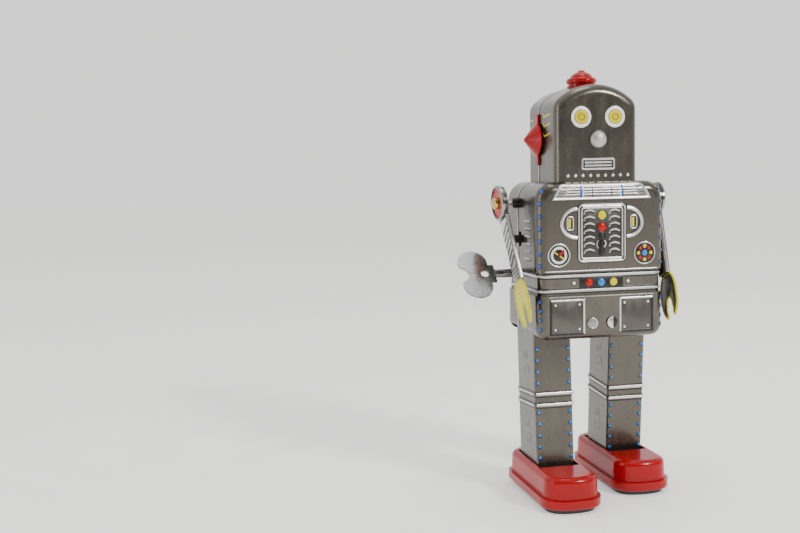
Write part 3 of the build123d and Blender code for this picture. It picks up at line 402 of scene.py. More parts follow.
def grille():
    """Slatted silver grille across the top of the chest."""
    low, high = 167.9, 175.3
    base_half, top_half = 28.0, 22.2
    slats, pitch, slat_end = 4, 1.4, 6

    def reach(z):
        """Half width at a height: the ends are curved."""
        down = (high - z) / (high - low)
        return top_half + (base_half - top_half) * down ** 0.6

    silver, black = layer("torso", "silver"), layer("torso", "black")
    patch(layer("torso", "pale_grey"), torso_front, (low, high), reach, INK)
    rows = [low + (high - low) * i / 10 for i in range(11)]
    right_side = [(reach(z), z) for z in rows]
    left_side = [(-reach(z), z) for z in reversed(rows)]
    ribbon(silver, torso_front, right_side + left_side, 1.1, 0.45, closed=True, crown=0.1)
    for i in range(slats):
        z = low + 1.6 + pitch * i
        end = reach(z) - slat_end
        ribbon(black, torso_front, [(-end, z), (end, z)], 0.5, 0.2)
        ribbon(silver, torso_front, [(-end, z + 0.6), (end, z + 0.6)], 0.5, 0.3)
    for sign in (-1, 1):
        for i in range(slats):
            z = low + 1.4 + pitch * i
            outer, inner = reach(z) - 1.2, reach(z) - 4.8
            ribbon(black, torso_front, [(sign * outer, z + 0.5), (sign * inner, z)], 0.45, 0.2)
        ribbon(layer("torso", "blue"), torso_front,
               [(sign * 12.2, low + 0.8), (sign * 12.0, high - 0.7)], 1.2, 0.42)
        ribbon(layer("torso", "white"), torso_front,
               [(sign * 10.9, low + 0.9), (sign * 10.8, high - 0.8)], 0.7, 0.38)
        ribbon(black, torso_front,
               [(sign * 5.6, low + 0.9), (sign * 5.6, high - 0.9)], 0.4, 0.34)
    ribbon(black, torso_front, [(-base_half, low - 0.9), (base_half, low - 0.9)], 0.5, 0.1)
    dash_z, dash_half, dash_pitch = 176.5, 1.5, 4.6
    for i in range(-4, 5):
        x = dash_pitch * i
        ribbon(silver, torso_front, [(x - dash_half, dash_z), (x + dash_half, dash_z)], 0.5, 0.15)


def chest_panel():
    """Framed control panel with its chevron columns, buttons and lever slot."""
    silver, black, white = (layer("torso", c) for c in ("silver", "black", "white"))
    low, high = 133.0, 164.8
    middle = (0, (low + high) / 2)
    half_height = (high - low) / 2
    ground = rounded_box(middle, 13.4, half_height - 0.4, 2.4)
    pad(layer("torso", "dark_grey"), torso_front, ground, INK)
    border = rounded_box(middle, 14.3, half_height + 0.4, 2.8)
    ribbon(black, torso_front, border, 0.5, 0.1, closed=True)
    outer_frame, inner_frame = 13.5, 11.9
    for half in (outer_frame, inner_frame):
        corner = 2.2 - (outer_frame - half) * 0.6
        edge = rounded_box(middle, half, half_height - 0.4 - (outer_frame - half), corner)
        ribbon(silver, torso_front, edge, 0.8, 0.5, closed=True, crown=0.1)
    ribbon(silver, torso_front, [(-11.4, high - 1.6), (11.4, high - 1.6)], 1.7, 0.55, crown=0.15)
    ribbon(silver, torso_front, [(-11.4, low + 1.5), (11.4, low + 1.5)], 1.5, 0.5, crown=0.15)
    pad(white, torso_front, rounded_box((1.6, high - 1.0), 1.5, 0.8, 0.3), 0.8)
    column_x, top_row, pitch, arch_half = 7.4, 160.9, 3.6, 2.9
    for sign in (-1, 1):
        for i in range(7):
            x, z = sign * column_x, top_row - pitch * i
            arch = [
                (x - arch_half + 2 * arch_half * k / 8, z + 0.9 * sin(pi * k / 8) - 0.3)
                for k in range(9)
            ]
            ribbon(silver, torso_front, arch, 0.75, 0.5, crown=0.15)
            shade = [(u, v - 0.95) for u, v in arch[1:]]
            ribbon(black, torso_front, shade, 0.9, 0.25)
            dome(silver, torso_front, (x - 3.0, z - 1.2), 0.5, 0.45, segments=12)
    for colour, z in (("yellow", 158.6), ("red", 152.0)):
        ring(black, torso_front, (0, z), 3.1, 2.5, 0.3)
        dome(layer("torso", colour), torso_front, (0, z), 2.55, 0.95, segments=28)
    x, z = -0.2, 142.6                  # middle of the lever slot
    pad(black, torso_front, rounded_box((x, z), 2.0, 6.8, 1.9), 0.35)
    dome(black, torso_front, (x, z + 4), 2.0, 1.3, segments=24)
    ribbon(black, torso_front, [(x, z + 3), (x - 0.7, z - 5.2)], 1.5, 0.9, crown=0.2)
    ribbon(white, torso_front, arc_points((x - 0.4, z + 0.4), 2.6, -52, 40, 8), 0.55, 0.42)
    ribbon(silver, torso_front, arc_points((x, z), 2.9, 115, 245, 8), 0.4, 0.3)


def handle_rings():
    """Silver D rings beside the panel, each with a yellow slit window."""
    root_x, middle_z = 14.6, 154.5

    def bow(sign, reach, rise):
        """Half an ellipse that opens toward the panel."""
        return [
            (sign * (root_x + reach * cos(radians(a))), middle_z + rise * sin(radians(a)))
            for a in range(90, -91, -10)
        ]

    for sign in (-1, 1):
        ribbon(layer("torso", "silver"), torso_front, bow(sign, 8.9, 7.9), 1.8, 0.6, crown=0.25)
        # Black line along the inside of each ring: painted shadow.
        ribbon(layer("torso", "black"), torso_front, bow(sign, 7.5, 6.5), 0.5, 0.2)
        middle = (sign * (root_x + 4), middle_z)
        pad(layer("torso", "black"), torso_front, rounded_box(middle, 2.1, 3.9, 1.2), 0.2)
        slit = rounded_box(middle, 1.75, 3.5, 1.0)
        ribbon(layer("torso", "silver"), torso_front, slit, 0.6, 0.4, closed=True)
        window = rounded_box((middle[0] - 0.45, middle[1]), 0.75, 2.5, 0.3)
        pad(layer("torso", "yellow"), torso_front, window, 0.42)


def dials():
    """Needle dial on the robot's right, disc with coloured lamps on its left."""
    silver, black, white = (layer("torso", c) for c in ("silver", "black", "white"))
    needle = (-25.2, 137.2)
    disc(black, torso_front, needle, 5.9, 0.22)
    ring(silver, torso_front, needle, 6.5, 5.8, 0.45)
    ring(white, torso_front, needle, 4.8, 3.3, 0.34)
    ribbon(layer("torso", "yellow"), torso_front,
           [(needle[0] - 3.6, needle[1] + 2.6), (needle[0] + 3.4, needle[1] - 2.5)], 0.8, 0.5)
    ribbon(layer("torso", "red"), torso_front,
           [(needle[0] - 0.6, needle[1] - 0.4), (needle[0] + 3.0, needle[1] + 2.6)], 1.3, 0.62)
    dome(black, torso_front, needle, 0.9, 0.95, segments=16)
    lamps, lamp_circle = (25.2, 137.0), 3.7
    disc(black, torso_front, lamps, 5.7, 0.25)
    ring(silver, torso_front, lamps, 6.3, 5.8, 0.4)
    for i in range(8):
        angle = pi / 4 * i
        spot = (lamps[0] + lamp_circle * cos(angle), lamps[1] + lamp_circle * sin(angle))
        colour = layer("torso", "red" if i % 2 else "yellow")
        dome(colour, torso_front, spot, 1.15, 0.6, segments=16)
    dome(layer("torso", "sky"), torso_front, lamps, 1.75, 0.75, segments=20)


def belt_path(start_y, way):
    """Half of the belt's outline, round the front (way 1) or the back (way -1)."""
    corner = TORSO_EDGE - BELT_DEPTH
    x, y = TORSO_HALF_WIDTH - BELT_DEPTH, -way * (TORSO_HALF_DEPTH - BELT_DEPTH)
    turn = [
        (x - corner + corner * sin(radians(a)), y + way * corner * (1 - cos(radians(a))))
        for a in range(0, 91, 10)
    ]
    half = turn + [(x, start_y)]
    far = [(-p, q) for p, q in reversed(half)]
    outline = far + half
    return outline if way == 1 else outline[::-1]


def belt():
    """Ribbed belt with its dark strip and three coloured buttons."""
    silver, black = layer("torso", "silver"), layer("torso", "black")
    seam_gap, upper_rib, lower_rib, strip_z = 3.4, 125.5, 117.3, 121.5
    for way in (1, -1):
        outline = belt_path(SEAM_Y - way * seam_gap, way)
        place, length = path_place(outline, lambda x, y, z: Vector((x, y, z)))
        for z in (upper_rib, lower_rib):
            ribbon(silver, place, [(0, z), (length, z)], 1.3, 0.5, step=1.0, crown=0.3)
            for shade_z in (z + 1.15, z - 1.15):
                ribbon(black, place, [(0, shade_z), (length, shade_z)], 0.9, 0.12, step=1.0)
    pad(black, belt_front, rounded_box((0, strip_z), 12.8, 2.9, 0.5), 0.3)
    for colour, x in (("red", -7.2), ("sky", 0), ("yellow", 7.2)):
        ring(black, belt_front, (x, strip_z), 2.75, 2.3, 0.5)
        dome(layer("torso", colour), belt_front, (x, strip_z), 2.35, 1.1, segments=24)
    for x in (-16, 16):
        # Black ring round each white rivet: painted shadow.
        ring(black, belt_front, (x, strip_z), 1.4, 0.95, 0.12, segments=20)
        dome(layer("torso", "white"), belt_front, (x, strip_z), 1.0, 0.5, segments=16)
    # Painted highlights: a silver line along the torso's edge just above the belt, and a pale line
    # along the edge just below it.
    ribbon(silver, torso_front, [(-33, BELT_HIGH + 0.6), (33, BELT_HIGH + 0.6)], 0.5, 0.14)
    edge_highlight = layer("torso", "pale_grey")
    ribbon(edge_highlight, torso_front, [(-31, BELT_LOW - 0.9), (31, BELT_LOW - 0.9)], 0.35, 0.1)


def seams():
    """Dark joint between the front and back shells, beside the bright lip of the back one."""
    node = frame["nodes"]["head_front_shell"]
    rim = [node.matrix_world @ vertex.co / MM for vertex in node.data.vertices]
    rim = [(p.x, p.z) for p in rim if p.y > SEAM_Y - 0.01]
    rim = [rim[i] for i in convex_hull_2d(rim)]
    rim.sort(key=lambda p: (atan2(p[1] - EAR_Z, p[0]) + pi / 2) % (2 * pi))
    edge, radius, hip = TORSO_HALF_WIDTH, TORSO_SHOULDER, TORSO_HIP
    shoulder = [(edge, BELT_HIGH + 0.3)]
    shoulder += arc_points((edge - radius, TORSO_TOP - radius), radius, 0, 90, 9)
    shoulder.append((HEAD_HALF_WIDTH + 0.3, TORSO_TOP))
    lower = arc_points((edge - hip, TORSO_BOTTOM + hip), hip, -18, 0, 4) + [(edge, BELT_LOW - 0.3)]
    outlines = [rim]
    marks = (("black", -0.8, 1.6, 0.12), ("silver", 0.6, 0.9, 0.22))
    for half in (shoulder, lower):
        outlines += [half, [(-x, z) for x, z in reversed(half)]]
    for outline in outlines:
        place, length = path_place(outline, lambda x, z, y: Vector((x, y, z)))
        for colour, y, width, height in marks:
            line = [(0, SEAM_Y + y), (length, SEAM_Y + y)]
            ribbon(layer("torso", colour), place, line, width, height, step=1.2)


def lower_panels():
    """Square riveted panels and two knobs below the belt."""
    silver, black, white = (layer("torso", c) for c in ("silver", "black", "white"))
    z_low, z_high = 93.6, 112.2
    for sign in (-1, 1):
        inner, outer = sign * 10.7, sign * 29.9
        middle = ((inner + outer) / 2, (z_low + z_high) / 2)
        pad(layer("torso", "panel_grey"), torso_front, rounded_box(middle, 9.4, 9.1, 0.9), INK)
        ribbon(black, torso_front, [(inner, z_low), (outer, z_low), (outer, z_high)], 1.3, 0.35)
        ribbon(silver, torso_front, [(outer, z_high), (inner, z_high), (inner, z_low)], 0.9, 0.5)
        for dx in (-7.0, 7.0):
            for dz in (-6.8, 6.8):
                x, z = middle[0] + dx, middle[1] + dz
                # Black ring set off down and to the right: a painted shadow under each rivet.
                ring(black, torso_front, (x + 0.15, z - 0.15), 1.15, 0.7, 0.2, segments=16)
                dome(white, torso_front, (x, z), 0.8, 0.5, segments=14)
    knob_x, knob_z = 5.6, 99
    ring(black, torso_front, (-knob_x, knob_z), 3.5, 3.0, 0.15)
    disc(layer("torso", "pale_grey"), torso_front, (-knob_x, knob_z), 3.1, 0.35)
    rim = arc_points((-knob_x, knob_z), 2.8, -100, 80, 12)
    ribbon(silver, torso_front, rim, 0.6, 0.5)
    disc(black, torso_front, (knob_x, knob_z), 3.4, 0.2)
    half = arc_points((knob_x + 0.7, knob_z), 3.0, 90, 270, 14)
    pad(silver, torso_front, half, 0.65)
    ribbon(layer("torso", "white"), torso_front, half, 0.5, 0.75)


def side_louvers():
    """Pressed louvers on the torso's side walls, each a silver painted highlight over a black
    painted shadow.
    """
    silver, black = layer("torso", "silver"), layer("torso", "black")
    lowest, pitch, from_front = 134.5, 4.2, 17
    for sign in (-1, 1):
        place = side_place(sign)
        u = sign * (TORSO_FRONT + from_front)
        for i in range(6):
            z = lowest + pitch * i
            # Silver line: painted highlight along the louver; black line below it: painted shadow.
            ribbon(silver, place, [(u - 4.5, z), (u + 4.5, z)], 0.9, 0.35, crown=0.3)
            ribbon(black, place, [(u - 4.8, z - 0.9), (u + 4.8, z - 0.9)], 0.8, 0.1)


# ---------------------------------------------------------------- head


def eyes():
    """Stepped yellow eyes in white rings."""
    eye_x, eye_z = 9.9, 212.3
    for sign in (-1, 1):
        centre = (sign * eye_x, eye_z)
        disc(layer("torso", "black"), head_front, centre, 6.3, 0.14)
        ring(layer("torso", "white"), head_front, centre, 5.8, 3.8, 0.6)
        ring(layer("torso", "black"), head_front, centre, 4.0, 3.55, 0.66)
        turned(layer("torso", "yellow"), head_front, centre,
               [(3.75, 0.1), (3.7, 0.8), (2.6, 1.0), (1.7, 0.85), (0, 0.85)], 32)
        ring(layer("torso", "black"), head_front, centre, 1.85, 1.55, 1.05, foot=0.6)
        dome(layer("torso", "yellow"), head_front, centre, 1.3, 1.2, segments=20, foot=0.6)


def nose_and_mouth():
    """Domed nose, and a framed mouth with two bars."""
    silver, black = layer("torso", "silver"), layer("torso", "black")
    nose, radius, skirt, rise = (0, 200), 4.7, 0.8, 2.6
    ring(black, head_front, nose, 5.2, 4.6, 0.15)
    profile = [(radius + 0.1, SUNK), (radius, skirt)]
    profile += [
        (radius * cos(radians(a)), skirt + rise * sin(radians(a))) for a in (15, 30, 45, 60, 75)
    ]
    turned(layer("torso", "satin"), head_front, nose, profile + [(0, skirt + rise)], 32)
    mouth_z = 186.6
    pad(black, head_front, rounded_box((0, mouth_z), 9.9, 3.2, 0.8), 0.15)
    lips = rounded_box((0, mouth_z), 9.3, 2.7, 0.7)
    ribbon(silver, head_front, lips, 1.0, 0.6, closed=True, crown=0.15)
    for z in (mouth_z - 0.85, mouth_z + 0.85):
        ribbon(silver, head_front, [(-7.9, z), (7.9, z)], 0.9, 0.45, crown=0.2)


def collar_dots():
    """Row of silver studs along the lower edge of the face."""
    pitch, z = 4.4, 180.2
    for i in range(-4, 5):
        centre = (pitch * i, z)
        # Black ring round each stud: painted shadow.
        ring(layer("torso", "black"), head_front, centre, 1.35, 0.9, 0.1, segments=18)
        dome(layer("torso", "silver"), head_front, centre, 1.05, 0.55, segments=16)


def ear_ticks():
    """Yellow ticks on the side of the head, ahead of and behind the ear."""
    yellow = layer("torso", "yellow")
    for sign in (-1, 1):
        place = side_place(sign, HEAD_HALF_WIDTH)
        for z in (214.0, 208.7, 203.2):
            tick = [(-1.2, z + 1.2), (-2.6, z - 0.6), (-12.5, z + 0.9)]
            ribbon(yellow, place, [(sign * y, v) for y, v in tick], 0.75, 0.15)
        ribbon(yellow, place, [(sign * 14.5, 212.0), (sign * 20.5, 212.6)], 0.75, 0.15)


# ---------------------------------------------------------------- arms and legs


def arm_half(v, inset=0.5):
    """Half width of the arm's face at a height below the shoulder, less an edge."""
    return (ARM_WIDTH + (WRIST_WIDTH - ARM_WIDTH) * -v / ARM_LENGTH) / 2 - inset


def arm_prints():
    """Light face with dark diagonal bands, cuff lines, and the front flange, painted silver as a
    highlight on the right arm and dark as shade on the left.
    """
    for side, sign in SIDES:
        body, place = f"{side}_arm", arm_place(sign)
        silver, black, dark = (layer(body, c) for c in ("silver", "black", "panel_grey"))
        patch(silver, place, (-ARM_LENGTH + 0.6, -10.6), arm_half, 0.08)
        first_band, pitch = -16.0, 3.9
        for i in range(6):
            v = first_band - pitch * i
            reach = arm_half(v, 0.9)
            band = [(-reach, v + 2.0), (reach, v - 2.0)]
            ribbon(dark, place, band, 1.9, 0.14)
            ribbon(black, place, [(p, q - 1.0) for p, q in band], 0.35, 0.18)
        for v, width in ((-40.4, 0.9), (-42.6, 0.6), (-44.6, 0.6), (-46.4, 0.5)):
            ribbon(dark, place, [(-arm_half(v), v), (arm_half(v), v)], width, 0.16)

        def flange(u, v, h=0.0):
            edge = SEAM_Y - arm_half(v, 0) - h
            return pose_arm(Vector((sign * (ARM_FACE - u), edge, SHOULDER.z + v)), sign)

        # Both flanges are the same tin: the right one is painted silver as a highlight, the left
        # one dark as shade.
        flange_highlight_or_shade = silver if sign < 0 else dark
        ribbon(flange_highlight_or_shade, flange, [(1.2, -9.5), (1.2, -ARM_LENGTH + 0.4)], 2.2, 0.1)


def shoulder_dishes():
    """Red dish of each shoulder cap, crossed by a copper strap under a domed brass hub."""
    for side, sign in SIDES:
        body, place = f"{side}_arm", arm_place(sign)
        dish_floor = 0.6                # above the arm's outer face
        ring(layer(body, "red"), place, (0, 0), 8.6, 1.9, 0.8, foot=dish_floor)
        strap = rounded_box((0, 0), 7.6, 3.5, 0.5)
        pad(layer(body, "copper"), place, strap, 0.97, foot=0.7)
        hub = plane_place((sign * HUB_END, SEAM_Y, SHOULDER.z), (0, sign, 0), (0, 0, 1))
        profile = [(3.5, -2.25), (3.5, -0.6), (3.1, 0.05), (2.1, 0.5), (1.0, 0.68), (0, 0.72)]
        turned(layer(body, "brass"), hub, (0, 0), profile, 28)


def bend(start, middle, end, steps=7):
    """Smooth curve through three points, without its last one."""
    start, middle, end = Vector(start), Vector(middle), Vector(end)
    pull = 2 * middle - (start + end) / 2
    return [
        start * (1 - t) ** 2 + pull * 2 * t * (1 - t) + end * t ** 2
        for t in (i / steps for i in range(steps))
    ]


def claw_outline(inset):
    """Outline of a claw below the wrist, moved in by inset; it runs anticlockwise."""
    wrist, tip = -ARM_LENGTH, -ARM_LENGTH - CLAW_LENGTH
    gap, gap_z = 2.7 + inset, tip + 8.8
    neck = (5.0 - inset, wrist - inset)
    widest = (10.0 - inset, wrist - 10.5)
    prong_outer = (4.7, tip + 1.6 * inset)
    prong_inner = (3.3 + 0.8 * inset, tip + 1.3 + 2 * inset)
    half = bend(neck, (8.4 - inset, wrist - 4.5), widest)
    half += bend(widest, (9.1 - inset, tip + 5.6 + inset), prong_outer)
    half += bend(prong_outer, (3.9, tip + 0.4 + 1.6 * inset), prong_inner)
    half += bend(prong_inner, (3.4 + inset, tip + 5.0), (gap, gap_z))
    half += [Vector(p) for p in arc_points((0, gap_z), gap, 0, 80, 6)]
    return [Vector((-p.x, p.y)) for p in half] + half[::-1]


def claws():
    """Rolled yellow rim round both faces of each hand, and the dark inner face."""
    for side, sign in SIDES:
        body, outer = f"{side}_arm", arm_place(sign)

        def inner(u, v, h=0.0):
            return outer(u, v, -PLATE - h)

        pad(layer(body, "panel_grey"), inner, claw_outline(0.8), 0.1)
        for place in (outer, inner):
            ribbon(layer(body, "yellow_plate"), place, claw_outline(0.45), 0.8, 0.28, closed=True)


def leg_prints():
    """Blue rivets down the leg edges, silver lines on the ribs, motifs on the side."""
    above_ribs, below_ribs, pitch = 82.8, 47.0, 6.4
    rivets = [above_ribs - pitch * i for i in range(4)]
    rivets += [below_ribs - pitch * i for i in range(5)]
    ribs = (57.4, 51.2)
    for side, sign in SIDES:
        body = f"{side}_leg"
        for face in ("front", "back"):
            place = leg_place(sign, face)
            for u in (-9.2, 9.2):
                for z in rivets:
                    shade = (u - 0.15, z - 0.15)
                    ring(layer(body, "black"), place, shade, 1.25, 0.8, 0.08, segments=16)
                    dome(layer(body, "sky"), place, (u, z), 1.0, 0.45, segments=14)
        for face, reach, width in (("front", 10.6, 1.5), ("back", 10.6, 1.5),
                                   ("plus_x", 13.9, 0.9), ("minus_x", 13.9, 0.9)):
            place = leg_place(sign, face)
            for z in ribs:
                line = [(-reach, z), (reach, z)]
                ribbon(layer(body, "silver"), place, line, width, 0.95, crown=0.12)
                for shade_z, shade_width in ((z - 1.7, 0.8), (z + 1.4, 0.35)):
                    line = [(-reach, shade_z), (reach, shade_z)]
                    ribbon(layer(body, "black"), place, line, shade_width, 0.08)
        for face in ("plus_x", "minus_x"):
            place, grey = leg_place(sign, face), layer(body, "pale_grey")
            for z in (74.0, 34.0):
                upper, lower = (0, z + 4.2), (0.8, z - 3.4)
                for centre, radius in ((upper, 3.0), (upper, 1.2), (lower, 3.4)):
                    loop = arc_points(centre, radius, 0, 340, 16)
                    ribbon(grey, place, loop, 0.35, 0.14, closed=True)
                ribbon(grey, place, [(-1.2, z - 4.8), (2.6, z - 2.0)], 0.35, 0.14)


for draw in (corner_rivets, grille, chest_panel, handle_rings, dials, belt, lower_panels,
             side_louvers, seams, eyes, nose_and_mouth, collar_dots, ear_ticks, arm_prints,
             shoulder_dishes, claws, leg_prints):
    draw()

# ---------------------------------------------------------------- materials


def new_material(name):
    """Empty node material with its shader and a texture coordinate in the row's frame."""
    material = bpy.data.materials.new(name)
    material.use_nodes = True
    nodes = material.node_tree.nodes
    shader = nodes["Principled BSDF"]
    coordinate = nodes.new("ShaderNodeTexCoord")
    return material, shader, coordinate.outputs["Object"]


def noise(material, coordinate, scale, detail=4.0, stretch=(1, 1, 1)):
    """Noise in metres: scale is the number of features per metre."""
    tree = material.node_tree
    mapping = tree.nodes.new("ShaderNodeMapping")
    mapping.inputs["Scale"].default_value = stretch
    texture = tree.nodes.new("ShaderNodeTexNoise")
    texture.inputs["Scale"].default_value = scale
    texture.inputs["Detail"].default_value = detail
    tree.links.new(coordinate, mapping.inputs["Vector"])
    tree.links.new(mapping.outputs["Vector"], texture.inputs["Vector"])
    return texture.outputs["Fac"]


def ramp(material, value, stops):
    """Colour ramp over a value; stops are (position, colour)."""
    node = material.node_tree.nodes.new("ShaderNodeValToRGB")
    elements = node.color_ramp.elements
    for element, (position, colour) in zip(elements, (stops[0], stops[-1])):
        element.position = position
        element.color = (*colour, 1)
    for position, colour in stops[1:-1]:
        element = elements.new(position)
        element.color = (*colour, 1)
    material.node_tree.links.new(value, node.inputs["Fac"])
    return node.outputs["Color"]


def spread(material, value, low, high):
    """Remaps a noise value, which mostly lies between 0.3 and 0.7, to the range low to high."""
    node = material.node_tree.nodes.new("ShaderNodeMapRange")
    node.inputs["From Min"].default_value = 0.3
    node.inputs["From Max"].default_value = 0.7
    node.inputs["To Min"].default_value = low
    node.inputs["To Max"].default_value = high
    material.node_tree.links.new(value, node.inputs["Value"])
    return node.outputs["Result"]


def bump(material, value, strength, distance, shader):
    """Surface relief from a value, distance in metres."""
    node = material.node_tree.nodes.new("ShaderNodeBump")
    node.inputs["Strength"].default_value = strength
    node.inputs["Distance"].default_value = distance
    material.node_tree.links.new(value, node.inputs["Height"])
    material.node_tree.links.new(node.outputs["Normal"], shader.inputs["Normal"])


def tinplate(name, colour, metallic, roughness, coat=0.0, mottle=0.06, specular=0.5,
             coat_roughness=0.08):
    """Printed or enamelled tinplate: cloudy ink, fine specks, slight orange peel."""
    material, shader, where = new_material(name)
    dark = tuple(c * (1 - mottle) for c in colour)
    light = tuple(min(1, c * (1 + mottle)) for c in colour)
    cloud = noise(material, where, 60, 6)
    tone = ramp(material, cloud, ((0.35, dark), (0.5, colour), (0.65, light)))
    material.node_tree.links.new(tone, shader.inputs["Base Color"])
    rub = noise(material, where, 220, 5, (1, 1, 0.35))
    material.node_tree.links.new(
        spread(material, rub, roughness * 0.8, roughness * 1.25), shader.inputs["Roughness"]
    )
    bump(material, noise(material, where, 900, 3), 0.1, 0.00008, shader)
    shader.inputs["Metallic"].default_value = metallic
    shader.inputs["Specular IOR Level"].default_value = specular
    shader.inputs["Coat Weight"].default_value = coat
    shader.inputs["Coat Roughness"].default_value = coat_roughness
    return material


def brushed(name, colour, roughness, stretch):
    """Bare metal with fine drawn lines."""
    material, shader, where = new_material(name)
    lines = noise(material, where, 700, 3, stretch)
    dark = tuple(c * 0.82 for c in colour)
    material.node_tree.links.new(
        ramp(material, lines, ((0.3, dark), (0.7, colour))), shader.inputs["Base Color"]
    )
    material.node_tree.links.new(
        spread(material, lines, roughness * 0.8, roughness * 1.3), shader.inputs["Roughness"]
    )
    bump(material, lines, 0.08, 0.00004, shader)
    shader.inputs["Metallic"].default_value = 1.0
    return material


def moulded(name, colour, roughness):
    """Moulded plastic with a fine grain."""
    material, shader, where = new_material(name)
    grain = noise(material, where, 1500, 4)
    light = tuple(c * 1.6 for c in colour)
    material.node_tree.links.new(
        ramp(material, grain, ((0.35, colour), (0.7, light))), shader.inputs["Base Color"]
    )
    bump(material, grain, 0.2, 0.00005, shader)
    shader.inputs["Roughness"].default_value = roughness
    return material


GLOSS_INK = {"coat": 0.1, "specular": 0.25}  # a weak shine keeps bright colours deep
COLOURS = {
    # silver also carries painted highlights: the edge line above the belt, the side louvers and
    # the right arm's flange.
    "silver": tinplate("silver_print_and_painted_highlight", (0.66, 0.65, 0.62), 0.85, 0.3, mottle=0.08),
    "satin": tinplate("matte_silver", (0.46, 0.46, 0.45), 0.7, 0.42, mottle=0.08),
    "white": tinplate("printed_white", (0.80, 0.79, 0.76), 0.1, 0.35),
    # pale_grey also carries the painted highlight along the edge below the belt.
    "pale_grey": tinplate("pale_grey_print_and_painted_highlight", (0.30, 0.29, 0.27), 0.75, 0.34, mottle=0.12),
    "dark_grey": tinplate("printed_dark_grey", (0.055, 0.05, 0.043), 0.6, 0.34),
    # panel_grey also carries the painted shade on the left arm's flange.
    "panel_grey": tinplate("panel_grey_print_and_painted_shade", (0.10, 0.092, 0.08), 0.7, 0.32),
    # black also carries painted shadows round rivets and studs, inside the handle rings, under the
    # louvers and chevrons, and beside the belt and leg ribs.
    "black": tinplate("black_print_and_painted_shadow", (0.006, 0.006, 0.006), 0.1, 0.32),
    "yellow": tinplate("printed_yellow", (0.64, 0.53, 0.0), 0.0, 0.28, **GLOSS_INK),
    "yellow_plate": tinplate("rolled_yellow", (0.62, 0.56, 0.0), 0.0, 0.28, **GLOSS_INK),
    "red": tinplate("printed_red", (0.42, 0.0, 0.002), 0.0, 0.25, **GLOSS_INK),
    "blue": tinplate("printed_blue", (0.003, 0.065, 0.42), 0.1, 0.28, coat=0.5, mottle=0.08),
    "sky": tinplate("printed_sky_blue", (0.004, 0.17, 0.55), 0.1, 0.28, coat=0.5, mottle=0.08),
    "brass": brushed("hub_brass", (0.66, 0.42, 0.14), 0.25, (1, 1, 0.2)),
    "copper": brushed("copper_strap", (0.52, 0.20, 0.07), 0.3, (1, 0.2, 1)),
}
SLOTS = dict.fromkeys(COLOURS, "grey_tinplate")
SLOTS |= {
    "black": "black_tinplate", "red": "red_tinplate", "yellow": "yellow_tinplate",
    "yellow_plate": "yellow_tinplate", "copper": "brass", "brass": "brass",
}
FINISHES = {
    "grey_tinplate": tinplate("olive_grey_tinplate", (0.100, 0.089, 0.073), 0.82, 0.25,
                              coat=0.25, mottle=0.07, coat_roughness=0.1),
    "red_tinplate": tinplate("red_enamel", (0.33, 0.0, 0.002), 0.0, 0.2, coat=0.12, specular=0.22),
    "yellow_tinplate": tinplate("yellow_tinplate", (0.60, 0.54, 0.0), 0.0, 0.3, **GLOSS_INK),
    "black_tinplate": tinplate("black_enamel", (0.010, 0.010, 0.010), 0.1, 0.32, coat=0.3),
    "nickel": brushed("nickel_plate", (0.34, 0.34, 0.335), 0.16, (1, 0.2, 1)),
    "spring_steel": brushed("blued_spring_steel", (0.16, 0.18, 0.24), 0.3, (0.2, 1, 1)),
    "brass": brushed("stamped_brass", (0.70, 0.46, 0.17), 0.25, (1, 1, 0.2)),
    "steel": brushed("plain_steel", (0.42, 0.42, 0.41), 0.3, (0.1, 1, 1)),
    "roller_plastic": moulded("roller_plastic", (0.03, 0.03, 0.03), 0.5),
}
NODE_FINISHES = {                       # nodes that look unlike the rest of their slot
    "key_plate": brushed("key_nickel", (0.22, 0.22, 0.22), 0.17, (1, 0.2, 1)),
}


def publish_layers():
    """One object for each body and colour."""
    for (body, colour), mesh in layers.items():
        bmesh.ops.recalc_face_normals(mesh, faces=mesh.faces)
        data = bpy.data.meshes.new(f"{body}_{colour}_details")
        mesh.to_mesh(data)
        mesh.free()
        piece = bpy.data.objects.new(data.name, data)
        bpy.context.scene.collection.objects.link(piece)
        data.materials.append(COLOURS[colour])
        data.shade_smooth()
        data.set_sharp_from_angle(angle=SHARP)
        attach(piece, body)


def finish_nodes():
    """Gives every CAD node the finish of its slot in the record, or its own."""
    for subpart in frame["record"]["subparts"]:
        node = frame["nodes"][subpart["node"]]
        node.data.materials.clear()
        finish = NODE_FINISHES.get(subpart["node"], FINISHES[subpart["material_slot"]])
        node.data.materials.append(finish)


publish_layers()
finish_nodes()

# ---------------------------------------------------------------- studio


def area_light(name, location, target, size, power, colour=(1, 1, 1)):
    """Soft light aimed at a point; lengths in metres, power in watts."""
    light = bpy.data.lights.new(name, "AREA")
    light.shape = "RECTANGLE"
    light.size, light.size_y = size
    light.energy = power
    light.color = colour
    lamp = bpy.data.objects.new(name, light)
    bpy.context.scene.collection.objects.link(lamp)
    lamp.location = Vector(location)
    lamp.rotation_euler = (Vector(target) - lamp.location).to_track_quat("-Z", "Y").to_euler()


FLOOR_REACH = 6                         # metres
FLOOR_GLOW = 0.44
ROOM_DARK, ROOM_BRIGHT = 0.18, 1.3      # behind the camera, and behind the robot
CAMERA_PLACE = (-228, -554.5, 184.7)    # millimetres
CAMERA_TURN = (84.7, 1.14, -12.31)      # degrees
CAMERA_SENSOR, CAMERA_LENS = 36, 46.2   # millimetres


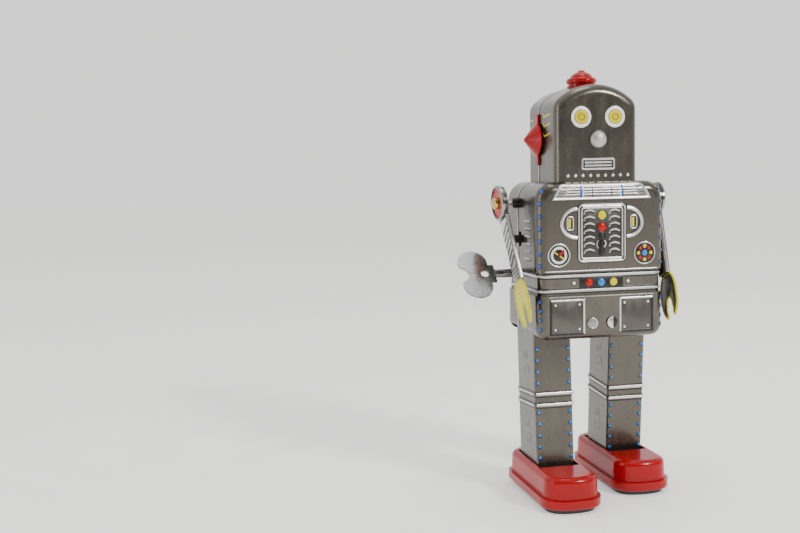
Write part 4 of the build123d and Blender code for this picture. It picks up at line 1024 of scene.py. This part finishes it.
def studio():
    """Pale floor that meets a bright backdrop without a visible edge."""
    floor_mesh = bpy.data.meshes.new("floor")
    corners = [
        (x * FLOOR_REACH, y * FLOOR_REACH, 0) for x, y in ((-1, -1), (1, -1), (1, 1), (-1, 1))
    ]
    floor_mesh.from_pydata(corners, [], [(0, 1, 2, 3)])
    floor = bpy.data.objects.new("floor", floor_mesh)
    bpy.context.scene.collection.objects.link(floor)
    material, shader, where = new_material("pale_paper")
    stops = ((0.3, (0.80, 0.80, 0.79)), (0.7, (0.84, 0.84, 0.83)))
    tone = ramp(material, noise(material, where, 30, 3), stops)
    material.node_tree.links.new(tone, shader.inputs["Base Color"])
    shader.inputs["Roughness"].default_value = 0.8
    shader.inputs["Emission Color"].default_value = (1, 1, 0.99, 1)
    shader.inputs["Emission Strength"].default_value = FLOOR_GLOW
    floor_mesh.materials.append(material)

    world = bpy.data.worlds.new("studio")
    world.use_nodes = True
    tree = world.node_tree
    background = tree.nodes["Background"]
    background.inputs["Color"].default_value = (1, 1, 0.99, 1)
    direction = tree.nodes.new("ShaderNodeTexCoord").outputs["Generated"]
    facing = tree.nodes.new("ShaderNodeVectorMath")
    facing.operation = "DOT_PRODUCT"
    facing.inputs[1].default_value = (0, 1, 0.45)
    tree.links.new(direction, facing.inputs[0])
    shade = tree.nodes.new("ShaderNodeMapRange")
    shade.inputs["From Min"].default_value = -0.7
    shade.inputs["From Max"].default_value = 0.6
    shade.inputs["To Min"].default_value = ROOM_DARK
    shade.inputs["To Max"].default_value = ROOM_BRIGHT
    tree.links.new(facing.outputs["Value"], shade.inputs["Value"])
    tree.links.new(shade.outputs["Result"], background.inputs["Strength"])
    bpy.context.scene.world = world

    area_light("key", (0.78, -1.2, 0.98), (0, 0, 0.1), (0.25, 0.25), 21, (1, 0.985, 0.96))
    area_light("side_strip", (-1.1, -0.25, 0.35), (0, 0, 0.14), (0.22, 0.9), 3)
    area_light("overhead", (0.1, 0.0, 1.3), (0, 0, 0.15), (0.7, 0.35), 3.5)


def camera():
    """The photograph's viewpoint: in front, to the robot's right, at chest height."""
    data = bpy.data.cameras.new("camera")
    data.sensor_width = CAMERA_SENSOR
    data.lens = CAMERA_LENS
    view = bpy.data.objects.new("camera", data)
    bpy.context.scene.collection.objects.link(view)
    view.location = Vector(CAMERA_PLACE) * MM
    view.rotation_euler = [radians(angle) for angle in CAMERA_TURN]
    bpy.context.scene.camera = view


studio()
camera()
